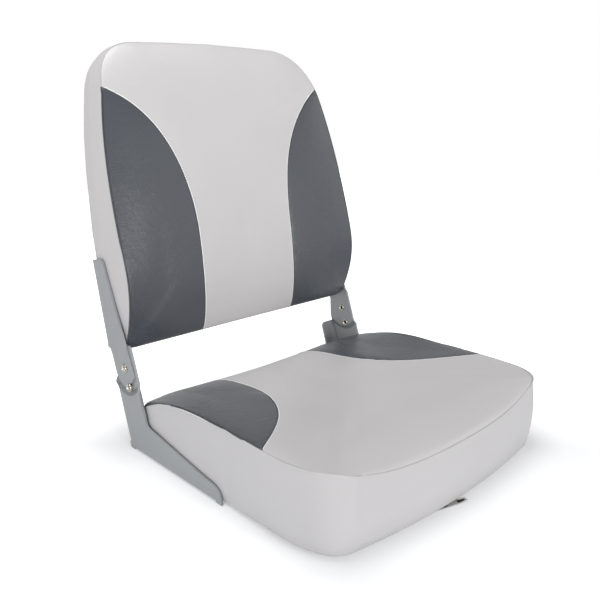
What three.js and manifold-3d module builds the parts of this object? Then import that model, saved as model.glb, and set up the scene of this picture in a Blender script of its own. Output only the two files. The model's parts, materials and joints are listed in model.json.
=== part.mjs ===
// Folding boat seat: two vinyl cushions on a pair of stamped folding hinges.
// Millimetres, +Z up. The sitter faces -Y, and left and right are the sitter's, so left is +X.
// The origin is the middle of the flat mounting pad under the seat pan.

import * as THREE from 'three';
import { mergeVertices } from 'three/addons/utils/BufferGeometryUtils.js';
import Module from 'manifold-3d';

const wasm = await Module();
wasm.setup();

// Fits that the whole part shares

const touchGap = 0.3;
const cutOverrun = 1;
const farOverrun = 10;
const weldLap = 0.5;
const arcSteps = 6;
const fineArc = 44;
const plainArc = 16;
const screwArc = 12;

// Hinge line and stamped sheet steel

const hingeHalfSpan = 215;
const pivotY = 205;
const pivotZ = 115;
const sheetThickness = 3;
const bendRadius = 4.5;
const flangeWidth = 31;
const flangeScrewInset = 25;
const hingeStep = sheetThickness + touchGap;
const plateInner = hingeHalfSpan - sheetThickness;
const earOuter = hingeHalfSpan - hingeStep;
const earInner = earOuter - sheetThickness;

// Rivets and stop pins

const rivetRadius = 4;
const rivetHeadRadius = 5.5;
const rivetHeadHeight = 2;
const rivetInnerHeight = 1;
const rivetDimpleRadius = 2;
const rivetDimpleDepth = 0.5;
const rivetBrowShare = 0.85;
const rivetBrowHeightShare = 0.7;
const stopRadius = 26.4;
const stopDegrees = -110.25;

// Lower bracket, measured from the pivot

const bracketLength = 204.8;
const heelSetback = 2.2;
const bracketLean = 17.9;
const shoulderDrop = 26.4;
const joggleInner = 31;
const joggleOuter = 36.5;
const earTop = 33;
const earFrontTop = 9;
const earFrontFoot = 31;
const earFootDrop = 29;
const earRear = 28;
const earRearRise = 8;
const earTopRear = 10;
const earTopRearRise = 29.5;
const earFrontCorner = 3;
const legNeck = 43;
const legNeckDrop = 57;
const legRoot = 60;
const legRootDrop = 72;
const legTip = 178;
const legTipDrop = 92.5;
const rearFlangeWidth = 31;
const rearFlangeDrop = 28;
const rearFlangeFoot = 8;
const rearFlangeCorner = 8;
const footFlangeToe = 10;
const footFlangeHeel = 9;
const footFlangeCorner = 8;

// Upper arm, in the backrest's frame

const backRecline = 12.45;
const armEndRadius = 26.5;
const armSlimRadius = 21.8;
const armRear = 39.3;
const armRelief = 31;
const armReliefFoot = 28.5;
const armReliefHeight = 26.5;
const armReliefFootHeight = 16;
const armHeight = 150;
const armTipFront = 9.5;
const armTipCorner = 11;
const armPivotFront = 18.3;

// Screws

const screwRadius = 2.2;
const screwHeadRadius = 4.6;
const screwLength = 13;
const countersinkDepth = 2.4;
const panHeadHeight = 2.4;
const screwPoint = 3.3;
const panHeadCrownShare = 0.7;
const crossWidth = 1.2;
const crossLength = 5;
const crossDepth = 1.2;
const bossRadius = 5.5;
const footScrewShares = [0.16, 0.5, 0.84];
const armScrewShares = [0.16, 0.5, 0.84];

// Vinyl, foam and boards

const vinyl = 1.3;
const foamClearance = 0.4;
const hemWidth = 8;
const hemStep = vinyl + 2 * touchGap;
const panThickness = 13;
const backBoardThickness = 11;
const rearPanelThickness = 2;

// Seat cushion. Its rear half stands between the brackets, and its front flares out past them

const seatSideClearance = 3.5;
const seatFlare = 6;
const seatRearHalf = plateInner - seatSideClearance;
const seatFrontHalf = seatRearHalf + seatFlare;
const seatFront = 190;
const seatRear = 192;
const seatCornerY = 177;
const seatCornerRun = 49.5;
const seatCornerX = seatFrontHalf - seatCornerRun;
const seatCornerStart = 90;
const seatCornerPullInset = 0.5;
const seatCornerPullX = seatFrontHalf - seatCornerPullInset;
const seatCornerPullY = 176;
const seatRearCorner = 30;
const seatSeam = 101;
const seatRearSeamDrop = 45;
const seatRearSeamStart = 15;
const seatFrontSeamDrop = 20;
const seatFrontSeamInset = 24.5;
const seatFrontSeamPower = 3.5;
const seatRearSeamPower = 2.6;
const seatMiddle = 92;
const seatRiseShare = 0.07;
const seatDish = 2;
const seatBolster = 11;
const seatBolsterStart = 60;
const seatBolsterFade = 90;
const seatBolsterFadeShare = 0.6;
const seatBolsterPower = 1.4;
const seatRoundPower = 8;
const seatRoundPowerFront = 3.8;
const seatRoundPowerRear = 6;
const seatEdgeInset = 2;
const seatSideTuck = 3;
const seatFrontBulge = 4;
const seatSideBulge = 1;
const seatBulgeStart = 10;
const seatBulgeRun = 80;
const seatPanelHalf = 88;
const seatPanelCurveStart = 105;
const seatPanelTip = 77;
const seatPanelPullShare = 0.6;
const seatTuckPower = 8;

// Backrest cushion, in the backrest's frame. Its lower half stands between the arms

const backFoot = 25;
const backTop = 435;
const backNeckDrop = 78;
const backNeckHeight = backTop - backNeckDrop;
const backWaistClearance = 3;
const backWaistHalf = plateInner - backWaistClearance;
const backFootCorner = 13;
const backFootHalf = backWaistHalf - backFootCorner;
const backWaistHeight = 42;
const backBulgeClearance = 0.5;
const backBulgeHalf = plateInner - backBulgeClearance;
const backBulgeHeight = 120;
const backShoulderFlare = 6;
const backShoulderHalf = plateInner + backShoulderFlare;
const backShoulderDrop = 107;
const backShoulderHeight = backNeckHeight - backShoulderDrop;
const backNeckTaper = 25;
const backNeckHalf = backShoulderHalf - backNeckTaper;
const backCornerPullInset = 12;
const backCornerPull = backNeckHalf - backCornerPullInset;
const backCornerRun = 75;
const backTopHalf = backNeckHalf - backCornerRun;
const backTopCrown = 3;
const backCornerTop = backTop - backTopCrown;
const backMiddleHeight = (backFoot + backTop) / 2;
const backFace = 39;
const backBolster = 9;
const backBolsterDrop = 57;
const backBolsterTop = backNeckHeight - backBolsterDrop;
const backSeam = 44.5;
const backSeamLevel = 140;
const backSeamShare = 0.068;
const backTopSeamPower = 1.2;
const backFootSeamPower = 1.5;
const backBolsterPower = 3;
const backRoundPower = 8;
const backRoundPowerFoot = 2.2;
const backRoundPowerTop = 4.5;
const backFootSeamDrop = 44;
const backFootSeamStart = 110;
const backTopSeamDrop = 19;
const backEdgeInset = 0.5;
const backTopEdgeInset = 4;
const backBulge = 0.3;
const backTopBulge = 3.5;
const backBulgeRun = 120;
const backPanelHalf = 86;
const backPanelCurveStart = 160;
const backPanelTipRise = 11;
const backPanelTip = backNeckHeight + backPanelTipRise;
const backPanelTipReach = 1;
const backPanelTipHalf = backNeckHalf + backPanelTipReach;
const backPanelPullShare = 0.74;

// The pads that stand off the boards to the level of the cushions' hems

const padSideInset = 30.5;
const padFrontInset = 56;
const padRearInset = 24;
const padCorner = 20;
const padHalf = seatRearHalf - padSideInset;
const padFront = seatFront - padFrontInset;
const padRear = seatRear - padRearInset;
const backPadSideInset = 44;
const backPadFootInset = 23;
const backPadTopInset = 33;
const backPadCorner = 60;
const backPadHalf = backWaistHalf - backPadSideInset;
const backPadFoot = backFoot + backPadFootInset;
const backPadTop = backTop - backPadTopInset;

// Mounting inserts in the pan, on the usual 5 by 12 inch pattern

const insertHalfX = 152.4;
const insertHalfY = 63.5;
const insertBore = 3.2;
const insertBarrel = 4.4;
const insertBarrelLength = 9;
const insertFlange = 9.5;
const insertFlangeThickness = 1.6;

// Hold-down strap and its hook

const strapWidth = 11;
const strapThickness = 1;
const strapLength = 78;
const strapTurn = -16;
const strapAnchorX = 96;
const strapAnchorY = 160;
const strapDipStart = 12;
const strapDipLength = 10;
const strapScrewInset = 7;
const hookLength = 45;
const hookWideLength = 16;
const hookLipStart = 32;
const hookLipRun = 16;
const hookHeadWidth = 14;
const hookTipWidth = 6;
const hookThickness = 1.1;
const hookSlot = 3;
const hookBar = 3;
const hookLipHeight = 1.8;
const strapRivetHead = 0.45;
const strapRivetRadius = 1.1;
const strapRivetHeadRadius = 2.4;
const strapRivetInset = 6;
const strapRivetOffset = 2.8;
const ribbonSteps = 16;
const washerRadius = 6.5;
const washerThickness = 0.8;

// Shares of a cushion's surface where its rings of points lie

const crownShares = [0.35, 0.64, 0.82, 0.92, 0.97, 1];
const bandShares = [0.3, 0.65, 1];

const degrees = THREE.MathUtils.degToRad;

// Materials, from the photograph

function finish(color, roughness, metalness) {
  return new THREE.MeshStandardMaterial({ color, roughness, metalness });
}

const lightVinyl = finish(0xc6c4c5, 0.45, 0);
const darkVinyl = finish(0x565a5f, 0.4, 0);
const foamFinish = finish(0xe8ddb8, 0.95, 0);
const mouldedPlastic = finish(0x3a3c3e, 0.6, 0);
const panelPlastic = finish(0xb9b8b9, 0.55, 0);
const paintedSteel = finish(0x9ba3a6, 0.45, 0.3);
const platedSteel = finish(0xc9c8c4, 0.25, 0.9);
const webbing = finish(0x1c1c1e, 0.9, 0);

// Solids in and out of the boolean library

function toSolid(geometry) {
  const plain = geometry.clone();
  plain.deleteAttribute('normal');
  plain.deleteAttribute('uv');
  const welded = mergeVertices(plain);
  const mesh = new wasm.Mesh({
    numProp: 3,
    vertProperties: new Float32Array(welded.attributes.position.array),
    triVerts: new Uint32Array(welded.index.array),
  });
  return new wasm.Manifold(mesh);
}

function toGeometry(solid) {
  const mesh = solid.getMesh();
  const geometry = new THREE.BufferGeometry();
  geometry.setAttribute('position', new THREE.BufferAttribute(mesh.vertProperties, 3));
  geometry.setIndex(new THREE.BufferAttribute(mesh.triVerts, 1));
  geometry.computeVertexNormals();
  return geometry;
}

function fuse(...solids) {
  return solids.reduce((whole, piece) => whole.add(piece));
}

function cut(solid, ...cutters) {
  return cutters.reduce((whole, cutter) => whole.subtract(cutter), solid);
}

// Extrudes a shape drawn in Y and Z along X, from one X to another
function sidePlate(shape, nearX, farX) {
  const settings = { depth: farX - nearX, bevelEnabled: false, curveSegments: arcSteps };
  const geometry = new THREE.ExtrudeGeometry(shape, settings);
  const turned = new THREE.Matrix4().makeBasis(
    new THREE.Vector3(0, 1, 0),
    new THREE.Vector3(0, 0, 1),
    new THREE.Vector3(1, 0, 0),
  );
  geometry.applyMatrix4(turned);
  geometry.translate(nearX, 0, 0);
  return toSolid(geometry);
}

// Extrudes a shape drawn in X and Y upwards, from one Z to another
function flatPlate(shape, low, high) {
  const settings = { depth: high - low, bevelEnabled: false, curveSegments: arcSteps };
  const geometry = new THREE.ExtrudeGeometry(shape, settings);
  geometry.translate(0, 0, low);
  return toSolid(geometry);
}

// A turned solid about Z, from [radius, height] pairs
function turned(profile, segments = plainArc) {
  const points = profile.map(([radius, height]) => new THREE.Vector2(radius, height));
  const geometry = new THREE.LatheGeometry(points, segments);
  geometry.rotateX(Math.PI / 2);
  return toSolid(geometry);
}

function rod(radius, low, high, segments = plainArc) {
  return turned([[0, low], [radius, low], [radius, high], [0, high]], segments);
}

function box(sizeX, sizeY, sizeZ, x, y, z) {
  const geometry = new THREE.BoxGeometry(sizeX, sizeY, sizeZ);
  geometry.translate(x, y, z);
  return toSolid(geometry);
}

// Points a Z solid along +X
function alongX(solid) {
  return solid.rotate([0, 90, 0]);
}

// Points a Z solid along -Y
function alongMinusY(solid) {
  return solid.rotate([90, 0, 0]);
}

function polar(radius, angle) {
  return [radius * Math.cos(angle), radius * Math.sin(angle)];
}

function ease(value) {
  const held = Math.min(Math.max(value, 0), 1);
  return held * held * (3 - 2 * held);
}

// A right-angle bend in sheet steel, drawn across the bend: the web stands at the outer face,
// and the flange runs inwards at the foot
function bendSection(outer, width) {
  const inner = outer - sheetThickness;
  const centre = outer - bendRadius;
  const innerRadius = bendRadius - sheetThickness;
  const shape = new THREE.Shape();
  shape.moveTo(inner, bendRadius + weldLap);
  shape.lineTo(inner, bendRadius);
  shape.absarc(centre, bendRadius, innerRadius, 0, -Math.PI / 2, true);
  shape.lineTo(outer - width, sheetThickness);
  shape.lineTo(outer - width, 0);
  shape.lineTo(centre, 0);
  shape.absarc(centre, bendRadius, bendRadius, -Math.PI / 2, 0, false);
  shape.lineTo(outer, bendRadius + weldLap);
  return shape;
}

// Takes the corner off a flange: the flange's edge is at edgeX and its end at endZ
function flangeCorner(edgeX, endZ, radius, inwardZ) {
  const shape = new THREE.Shape();
  const roundX = edgeX + radius;
  const roundZ = endZ + inwardZ * radius;
  const outsideZ = endZ - inwardZ * cutOverrun;
  shape.moveTo(edgeX - cutOverrun, outsideZ);
  shape.lineTo(roundX, outsideZ);
  shape.lineTo(roundX, endZ);
  shape.absarc(roundX, roundZ, radius, -inwardZ * Math.PI / 2, Math.PI, inwardZ > 0);
  shape.lineTo(edgeX - cutOverrun, roundZ);
  const depth = sheetThickness + 2 * cutOverrun;
  return flatPlate(shape, 0, depth).rotate([90, 0, 0]).translate([0, depth - cutOverrun, 0]);
}

// A flange with its bend, both free corners rounded. It starts at 'start' and rises across
// the bend along 'rise'; its length then runs along X cross rise
function flange(outer, width, length, corner, rise, start) {
  const settings = { depth: length, bevelEnabled: false, curveSegments: arcSteps };
  const strip = toSolid(new THREE.ExtrudeGeometry(bendSection(outer, width), settings));
  const edgeX = outer - width;
  const shaped = cut(
    strip,
    flangeCorner(edgeX, 0, corner, 1),
    flangeCorner(edgeX, length, corner, -1),
  );
  const across = new THREE.Vector3(1, 0, 0);
  const run = new THREE.Vector3().crossVectors(across, rise);
  const placed = new THREE.Matrix4().makeBasis(across, rise, run).setPosition(start);
  return shaped.transform(placed.elements);
}

// What a flange's bend replaces of the web: a straight strip of the plate's edge, a little
// shorter than the flange so that the two are joined at its ends
function bendRelief(length, rise, start) {
  const strip = box(
    2 * hingeHalfSpan,
    bendRadius + cutOverrun,
    length - 2 * weldLap,
    hingeHalfSpan,
    (bendRadius - cutOverrun) / 2,
    length / 2,
  );
  const across = new THREE.Vector3(1, 0, 0);
  const run = new THREE.Vector3().crossVectors(across, rise);
  const placed = new THREE.Matrix4().makeBasis(across, rise, run).setPosition(start);
  return strip.transform(placed.elements);
}

// Lower bracket: leg, foot and joggled ear

const leanSlope = Math.tan(degrees(bracketLean));
const shoulderRear = (pivotZ - shoulderDrop) * leanSlope - heelSetback;

// The bracket's side view, from the pivot, in Y and Z
function bracketOutline() {
  const shape = new THREE.Shape();
  shape.moveTo(-heelSetback, -pivotZ);
  shape.lineTo(shoulderRear, -shoulderDrop);
  shape.lineTo(earRear, earRearRise);
  shape.quadraticCurveTo(earRear, earTopRearRise, earTopRear, earTopRearRise);
  shape.lineTo(earFrontCorner - earFrontTop, earTop);
  shape.quadraticCurveTo(-earFrontTop, earTop, -earFrontTop - earFrontCorner / 2, earTop - earFrontCorner);
  shape.lineTo(-earFrontFoot, -earFootDrop);
  shape.lineTo(-legNeck, -legNeckDrop);
  shape.quadraticCurveTo(-legNeck, -legRootDrop, -legRoot, -legRootDrop);
  shape.lineTo(-legTip, -legTipDrop);
  shape.quadraticCurveTo(-heelSetback - bracketLength, -legTipDrop, -heelSetback - bracketLength, -pivotZ);
  return shape;
}

// The stamped joggle: a ring round the pivot whose section steps from the ear to the leg
function joggleRing() {
  const steps = 4;
  const outerSide = [];
  const innerSide = [];
  for (let step = 0; step <= steps; step += 1) {
    const along = step / steps;
    const radius = joggleInner + (joggleOuter - joggleInner) * along;
    const height = earOuter + hingeStep * ease(along);
    outerSide.push([radius, height]);
    innerSide.push([radius, height - sheetThickness]);
  }
  outerSide.unshift([joggleInner - weldLap, earOuter]);
  innerSide.unshift([joggleInner - weldLap, earInner]);
  outerSide.push([joggleOuter + weldLap, hingeHalfSpan]);
  innerSide.push([joggleOuter + weldLap, plateInner]);
  const section = [...innerSide, ...outerSide.reverse(), innerSide[0]];
  return alongX(turned(section, fineArc));
}

function bracketSolid() {
  const outline = bracketOutline();
  const reach = 2 * hingeHalfSpan;
  const disc = (radius) => alongX(rod(radius, 0, reach, fineArc));
  const lowerHalf = box(2 * reach, reach, pivotZ + cutOverrun, 0, 0, -(pivotZ + cutOverrun) / 2);
  const leg = cut(sidePlate(outline, plateInner, hingeHalfSpan), disc(joggleOuter));
  const earPlate = sidePlate(outline, earInner, earOuter);
  const ear = cut(earPlate, cut(disc(reach), disc(joggleInner)).intersect(lowerHalf));
  const wall = sidePlate(outline, earInner, hingeHalfSpan).intersect(joggleRing()).intersect(lowerHalf);
  const forward = new THREE.Vector3(0, -Math.cos(degrees(bracketLean)), Math.sin(degrees(bracketLean)));
  const flangeRise = pivotZ - rearFlangeDrop;
  const flangeRun = flangeRise / Math.cos(degrees(bracketLean)) - rearFlangeFoot;
  const rearTop = new THREE.Vector3(0, flangeRise * leanSlope - heelSetback, -rearFlangeDrop);
  const rearFlange = flange(hingeHalfSpan, rearFlangeWidth, flangeRun, rearFlangeCorner, forward, rearTop);
  const upward = new THREE.Vector3(0, 0, 1);
  const footRun = bracketLength - footFlangeToe - footFlangeHeel;
  const footStart = new THREE.Vector3(0, -heelSetback - footFlangeHeel, -pivotZ);
  const footFlange = flange(hingeHalfSpan, flangeWidth, footRun, footFlangeCorner, upward, footStart);
  const web = cut(
    leg,
    bendRelief(flangeRun, forward, rearTop),
    bendRelief(footRun, upward, footStart),
  );
  const holes = [
    disc(rivetRadius + touchGap),
    stopPlace(disc(rivetRadius + touchGap / 2)),
    ...footScrewPlaces().map(({ x, y }) => footScrewHole().translate([x, y - pivotY, -pivotZ])),
  ];
  return cut(fuse(web, wall, ear, rearFlange, footFlange), ...holes).translate([0, pivotY, pivotZ]);
}

function stopPlace(solid) {
  const [y, z] = polar(stopRadius, degrees(stopDegrees));
  return solid.translate([0, y, z]);
}

function footScrewPlaces() {
  const x = hingeHalfSpan - flangeScrewInset;
  const heel = pivotY - heelSetback - footFlangeHeel;
  const run = bracketLength - footFlangeToe - footFlangeHeel;
  return footScrewShares.map((share) => ({ x, y: heel - run * share }));
}

// A countersunk clearance hole, its wide end at Z 0
function footScrewHole() {
  return turned([
    [0, -cutOverrun],
    [screwHeadRadius + touchGap, -cutOverrun],
    [screwHeadRadius + touchGap, 0],
    [screwRadius + touchGap, countersinkDepth],
    [screwRadius + touchGap, sheetThickness + cutOverrun],
    [0, sheetThickness + cutOverrun],
  ]);
}

// Upper arm, with its foot rounded about the pivot and its shoulder on the stop pin

function armOutline() {
  const shoulder = degrees(stopDegrees + backRecline) + Math.asin((rivetRadius + touchGap) / stopRadius);
  const endRear = Math.atan2(-armReliefFootHeight / 4, armEndRadius);
  const frontFoot = Math.asin(armPivotFront / armSlimRadius);
  const slimStart = -Math.PI / 2 - frontFoot;
  const shape = new THREE.Shape();
  const [shoulderY, shoulderZ] = polar(armEndRadius, shoulder);
  const [notchY, notchZ] = polar(armSlimRadius, shoulder);
  shape.moveTo(notchY, notchZ);
  shape.lineTo(shoulderY, shoulderZ);
  shape.absarc(0, 0, armEndRadius, shoulder, endRear, false);
  shape.lineTo(armReliefFoot, armReliefFootHeight);
  shape.lineTo(armRelief, armReliefHeight);
  shape.lineTo(armRear, armRelief);
  shape.lineTo(armRear, armHeight);
  shape.lineTo(armTipFront + armTipCorner, armHeight);
  shape.quadraticCurveTo(armTipFront, armHeight, armTipFront - weldLap, armHeight - armTipCorner);
  shape.lineTo(...polar(armSlimRadius, slimStart));
  shape.absarc(0, 0, armSlimRadius, slimStart, shoulder, false);
  return shape;
}

function armScrewPlaces() {
  const run = armHeight - armRelief;
  const x = hingeHalfSpan - flangeScrewInset;
  return armScrewShares.map((share) => ({ x, z: armHeight - run * share }));
}

function armSolid() {
  const reach = 2 * hingeHalfSpan;
  const forward = new THREE.Vector3(0, -1, 0);
  const top = new THREE.Vector3(0, armRear, armHeight);
  const run = armHeight - armRelief;
  const web = cut(sidePlate(armOutline(), plateInner, hingeHalfSpan), bendRelief(run, forward, top));
  const rearFlange = flange(hingeHalfSpan, flangeWidth, run, footFlangeCorner, forward, top);
  const hole = alongMinusY(screwHole(-cutOverrun, sheetThickness + cutOverrun));
  const holes = armScrewPlaces().map(({ x, z }) => hole.translate([x, armRear, z]));
  return cut(fuse(web, rearFlange), alongX(rod(rivetRadius + touchGap, 0, reach)), ...holes);
}

// Rivets and pins, drawn along Z and then turned along X

// A rivet head's outline, from its rim at the seat to the dimple in its crown. The height is
// negative for a head that points down
function domedHead(seat, height) {
  return [
    [rivetHeadRadius, seat],
    [rivetHeadRadius, seat + height / 2],
    [rivetHeadRadius * rivetBrowShare, seat + height * rivetBrowHeightShare],
    [rivetDimpleRadius, seat + height],
    [0, seat + height - Math.sign(height) * rivetDimpleDepth],
  ];
}

function rivetSolid(innerFace, outerFace) {
  const low = domedHead(innerFace, -rivetInnerHeight).reverse();
  const high = domedHead(outerFace, rivetHeadHeight);
  const shank = [[rivetRadius, innerFace], [rivetRadius, outerFace]];
  return alongX(turned([...low, ...shank, ...high]));
}

// Screws, drawn pointing up +Z from the seat of the head at Z 0

function screwHole(low, high) {
  return rod(screwRadius + touchGap, low, high, screwArc);
}

function footScrewSolid() {
  return turned([
    [0, 0],
    [screwHeadRadius, 0],
    [screwRadius, countersinkDepth],
    [screwRadius, screwLength - screwPoint],
    [0, screwLength],
  ], screwArc);
}

function armScrewSolid() {
  const body = turned([
    [0, -panHeadHeight],
    [screwHeadRadius * panHeadCrownShare, -panHeadHeight],
    [screwHeadRadius, -panHeadHeight / 2],
    [screwHeadRadius, 0],
    [screwRadius, 0],
    [screwRadius, screwLength - screwPoint],
    [0, screwLength],
  ], screwArc);
  const slotHeight = 2 * crossDepth;
  const slot = box(crossLength, crossWidth, slotHeight, 0, 0, -panHeadHeight);
  return cut(body, slot, slot.rotate([0, 0, 90]));
}

// Cushions. Each is drawn over its own plan, with its height towards the sitter.

// Joins rings of points into one closed surface. Each patch between two rings is split along
// one of its diagonals, as its fold says. With two ends the surface is capped by fans on them,
// and without them it closes on itself as a hoop.
function loft(rings, folds, first, last) {
  const count = rings[0].length;
  const positions = rings.flat().flatMap((point) => point.toArray());
  const index = [];
  const at = (ring, step) => (ring % rings.length) * count + (step % count);
  const spans = first ? rings.length - 1 : rings.length;
  for (let ring = 0; ring < spans; ring += 1) {
    for (let step = 0; step < count; step += 1) {
      const corners = [at(ring, step), at(ring + 1, step), at(ring + 1, step + 1), at(ring, step + 1)];
      if (!folds[ring][step]) corners.push(corners.shift());
      const [a, b, c, d] = corners;
      index.push(a, b, c, a, c, d);
    }
  }
  if (first) {
    positions.push(...first.toArray(), ...last.toArray());
    const firstIndex = rings.length * count;
    for (let step = 0; step < count; step += 1) {
      index.push(firstIndex, at(0, step), at(0, step + 1));
      index.push(at(rings.length - 1, step), firstIndex + 1, at(rings.length - 1, step + 1));
    }
  }
  const geometry = new THREE.BufferGeometry();
  geometry.setAttribute('position', new THREE.Float32BufferAttribute(positions, 3));
  geometry.setIndex(index);
  return toSolid(geometry);
}

function outwardAt(outline, step) {
  const before = outline[(step + outline.length - 1) % outline.length];
  const after = outline[(step + 1) % outline.length];
  return new THREE.Vector2(after.y - before.y, before.x - after.x).normalize();
}

function outlineRing(cushion, inset, height) {
  return cushion.outline.map((point, step) => {
    const outward = outwardAt(cushion.outline, step);
    const x = point.x - outward.x * inset(point);
    const y = point.y - outward.y * inset(point);
    return new THREE.Vector3(x, y, height(point));
  });
}

function crownRings(cushion) {
  return crownShares.map((reach) => cushion.outline.map((point) => {
    const x = point.x * reach;
    const y = cushion.middle + (point.y - cushion.middle) * reach;
    const seam = cushion.seam(point.x, point.y);
    const swell = Math.sqrt(1 - reach ** cushion.roundness(point));
    return new THREE.Vector3(x, y, seam + (cushion.face(x, y) - seam) * swell);
  }));
}

function bandRing(cushion, height) {
  const down = (point) => {
    const seam = cushion.seam(point.x, point.y);
    return (seam - height(point)) / (seam - cushion.edge);
  };
  const inset = (point) => {
    const fall = down(point);
    return cushion.edgeInset(point) * fall - cushion.bulge(point) * Math.sin(Math.PI * fall);
  };
  return outlineRing(cushion, inset, height);
}

function bandRings(cushion) {
  return bandShares.map((share) => bandRing(cushion, (point) => {
    const seam = cushion.seam(point.x, point.y);
    return seam + (cushion.base - seam) * share;
  }));
}

// Moves each point of a surface inwards, square to the surface and mitred at its folds
function insetRings(rings, depth) {
  return rings.map((ring, row) => ring.map((point, step) => {
    const around = new THREE.Vector3().subVectors(
      ring[(step + 1) % ring.length],
      ring[(step + ring.length - 1) % ring.length],
    );
    const earlier = rings[Math.max(row - 1, 0)][step];
    const later = rings[Math.min(row + 1, rings.length - 1)][step];
    const normals = [[earlier, point], [point, later]]
      .map(([from, to]) => new THREE.Vector3().subVectors(to, from).cross(around))
      .filter((normal) => normal.lengthSq() > 0)
      .map((normal) => normal.normalize());
    const middle = normals.reduce((sum, normal) => sum.add(normal), new THREE.Vector3()).normalize();
    return point.clone().addScaledVector(middle, -depth / middle.dot(normals[0]));
  }));
}

// The fold of each patch between two rings: along the diagonal that stands further out. Skin
// and foam share them, so that one surface stays clear of the other.
function foldsOf(rings) {
  return rings.slice(1).map((next, row) => next.map((c, step) => {
    const after = (step + 1) % next.length;
    const corners = [rings[row][step], c, next[after], rings[row][after]];
    const [p, q, r, s] = corners;
    const outward = new THREE.Vector3().subVectors(r, p).cross(new THREE.Vector3().subVectors(s, q));
    const rise = p.clone().add(r).sub(q).sub(s);
    return rise.dot(outward) >= 0;
  }));
}

// The folds of a skin that runs out along one face and back along the other
function thereAndBack(folds) {
  const back = folds.slice().reverse().map((row) => row.map((fold) => !fold));
  return [...folds, folds[0], ...back, folds[0]];
}

function shifted(ring, height) {
  return ring.map((point) => new THREE.Vector3(point.x, point.y, point.z + height));
}

// The sewn cover's crown: one skin from the middle out to the seam
function crownSolid(cushion) {
  const skin = cushion.skin;
  const seamRow = crownShares.length - 1;
  const outer = skin.outer.slice(0, seamRow);
  const inner = skin.inner.slice(0, seamRow);
  const outerSeam = shifted(skin.outer[seamRow], touchGap / 2);
  const innerSeam = shifted(skin.inner[seamRow], touchGap / 2);
  const top = cushion.face(0, cushion.middle);
  const first = new THREE.Vector3(0, cushion.middle, top);
  const last = new THREE.Vector3(0, cushion.middle, top - vinyl);
  const folds = thereAndBack(skin.folds.slice(0, seamRow));
  return loft([...outer, outerSeam, innerSeam, ...inner.reverse()], folds, first, last);
}

// The cover's side band, from the seam round the edge to the hem under the board
function bandSolid(cushion) {
  const skin = cushion.skin;
  const seamRow = crownShares.length - 1;
  const outer = skin.outer.slice(seamRow + 1);
  const inner = skin.inner.slice(seamRow + 1);
  const outerSeam = shifted(skin.outer[seamRow], -touchGap / 2);
  const innerSeam = shifted(skin.inner[seamRow], -touchGap / 2);
  const folds = thereAndBack(skin.folds.slice(seamRow));
  return loft([outerSeam, ...outer, ...inner.reverse(), innerSeam], folds);
}

function foamSolid(cushion) {
  const rings = cushion.skin.foam.slice(0, crownShares.length + bandShares.length);
  const top = cushion.face(0, cushion.middle) - vinyl - foamClearance;
  const first = new THREE.Vector3(0, cushion.middle, top);
  const last = new THREE.Vector3(0, cushion.middle, cushion.base);
  return loft(rings, cushion.skin.folds, first, last);
}

// A flat board with the cushion's outline, drawn in by an inset
function boardSolid(cushion, inset, low, high) {
  const spread = (point) => cushion.edgeInset(point) + inset;
  const top = outlineRing(cushion, spread, () => high);
  const bottom = outlineRing(cushion, spread, () => low);
  const first = new THREE.Vector3(0, cushion.middle, high);
  const last = new THREE.Vector3(0, cushion.middle, low);
  return loft([top, bottom], [top.map(() => true)], first, last);
}

function makeCushion(shape) {
  const cushion = { ...shape };
  const edge = bandRing(cushion, () => cushion.edge);
  const hem = outlineRing(cushion, (point) => cushion.edgeInset(point) + hemWidth, () => cushion.edge);
  const outer = [...crownRings(cushion), ...bandRings(cushion), edge, hem];
  cushion.skin = {
    outer,
    inner: insetRings(outer, vinyl),
    foam: insetRings(outer, vinyl + foamClearance),
    folds: foldsOf(outer),
  };
  cushion.skin.foam[crownShares.length + bandShares.length - 1].forEach((point) => {
    point.z = cushion.base;
  });
  return cushion;
}

// Points along a list of curves, with a count for each
function outlinePoints(stretches) {
  return stretches.flatMap(([curve, count]) => curve.getPoints(count).slice(0, -1));
}

function line(x0, y0, x1, y1) {
  return new THREE.LineCurve(new THREE.Vector2(x0, y0), new THREE.Vector2(x1, y1));
}

function bow(x0, y0, x1, y1, x2, y2) {
  return new THREE.QuadraticBezierCurve(
    new THREE.Vector2(x0, y0),
    new THREE.Vector2(x1, y1),
    new THREE.Vector2(x2, y2),
  );
}

// Seat cushion

function seatOutline() {
  const nose = 2 * seatFront - seatCornerY;
  const rearX = seatRearHalf - seatRearCorner;
  const rearY = seatRear - seatRearCorner;
  const cornerX = seatCornerX;
  const cornerY = -seatCornerY;
  const pullX = seatCornerPullX;
  const pullY = -seatCornerPullY;
  return outlinePoints([
    [bow(-cornerX, cornerY, 0, -nose, cornerX, cornerY), 8],
    [bow(cornerX, cornerY, pullX, pullY, seatFrontHalf, -seatCornerStart), 7],
    [line(seatFrontHalf, -seatCornerStart, seatRearHalf, rearY), 5],
    [bow(seatRearHalf, rearY, seatRearHalf, seatRear, rearX, seatRear), 4],
    [line(rearX, seatRear, -rearX, seatRear), 7],
    [bow(-rearX, seatRear, -seatRearHalf, seatRear, -seatRearHalf, rearY), 4],
    [line(-seatRearHalf, rearY, -seatFrontHalf, -seatCornerStart), 5],
    [bow(-seatFrontHalf, -seatCornerStart, -pullX, pullY, -cornerX, cornerY), 7],
  ]);
}

function seatSeamHeight(x, y) {
  const rear = Math.max(y - seatRearSeamStart, 0) / (seatRear - seatRearSeamStart);
  const across = Math.min(Math.abs(x) / (seatFrontHalf - seatFrontSeamInset), 1);
  const front = y < -seatCornerStart ? 1 - across ** seatFrontSeamPower : 0;
  return seatSeam - seatRearSeamDrop * rear ** seatRearSeamPower - seatFrontSeamDrop * front;
}

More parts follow.
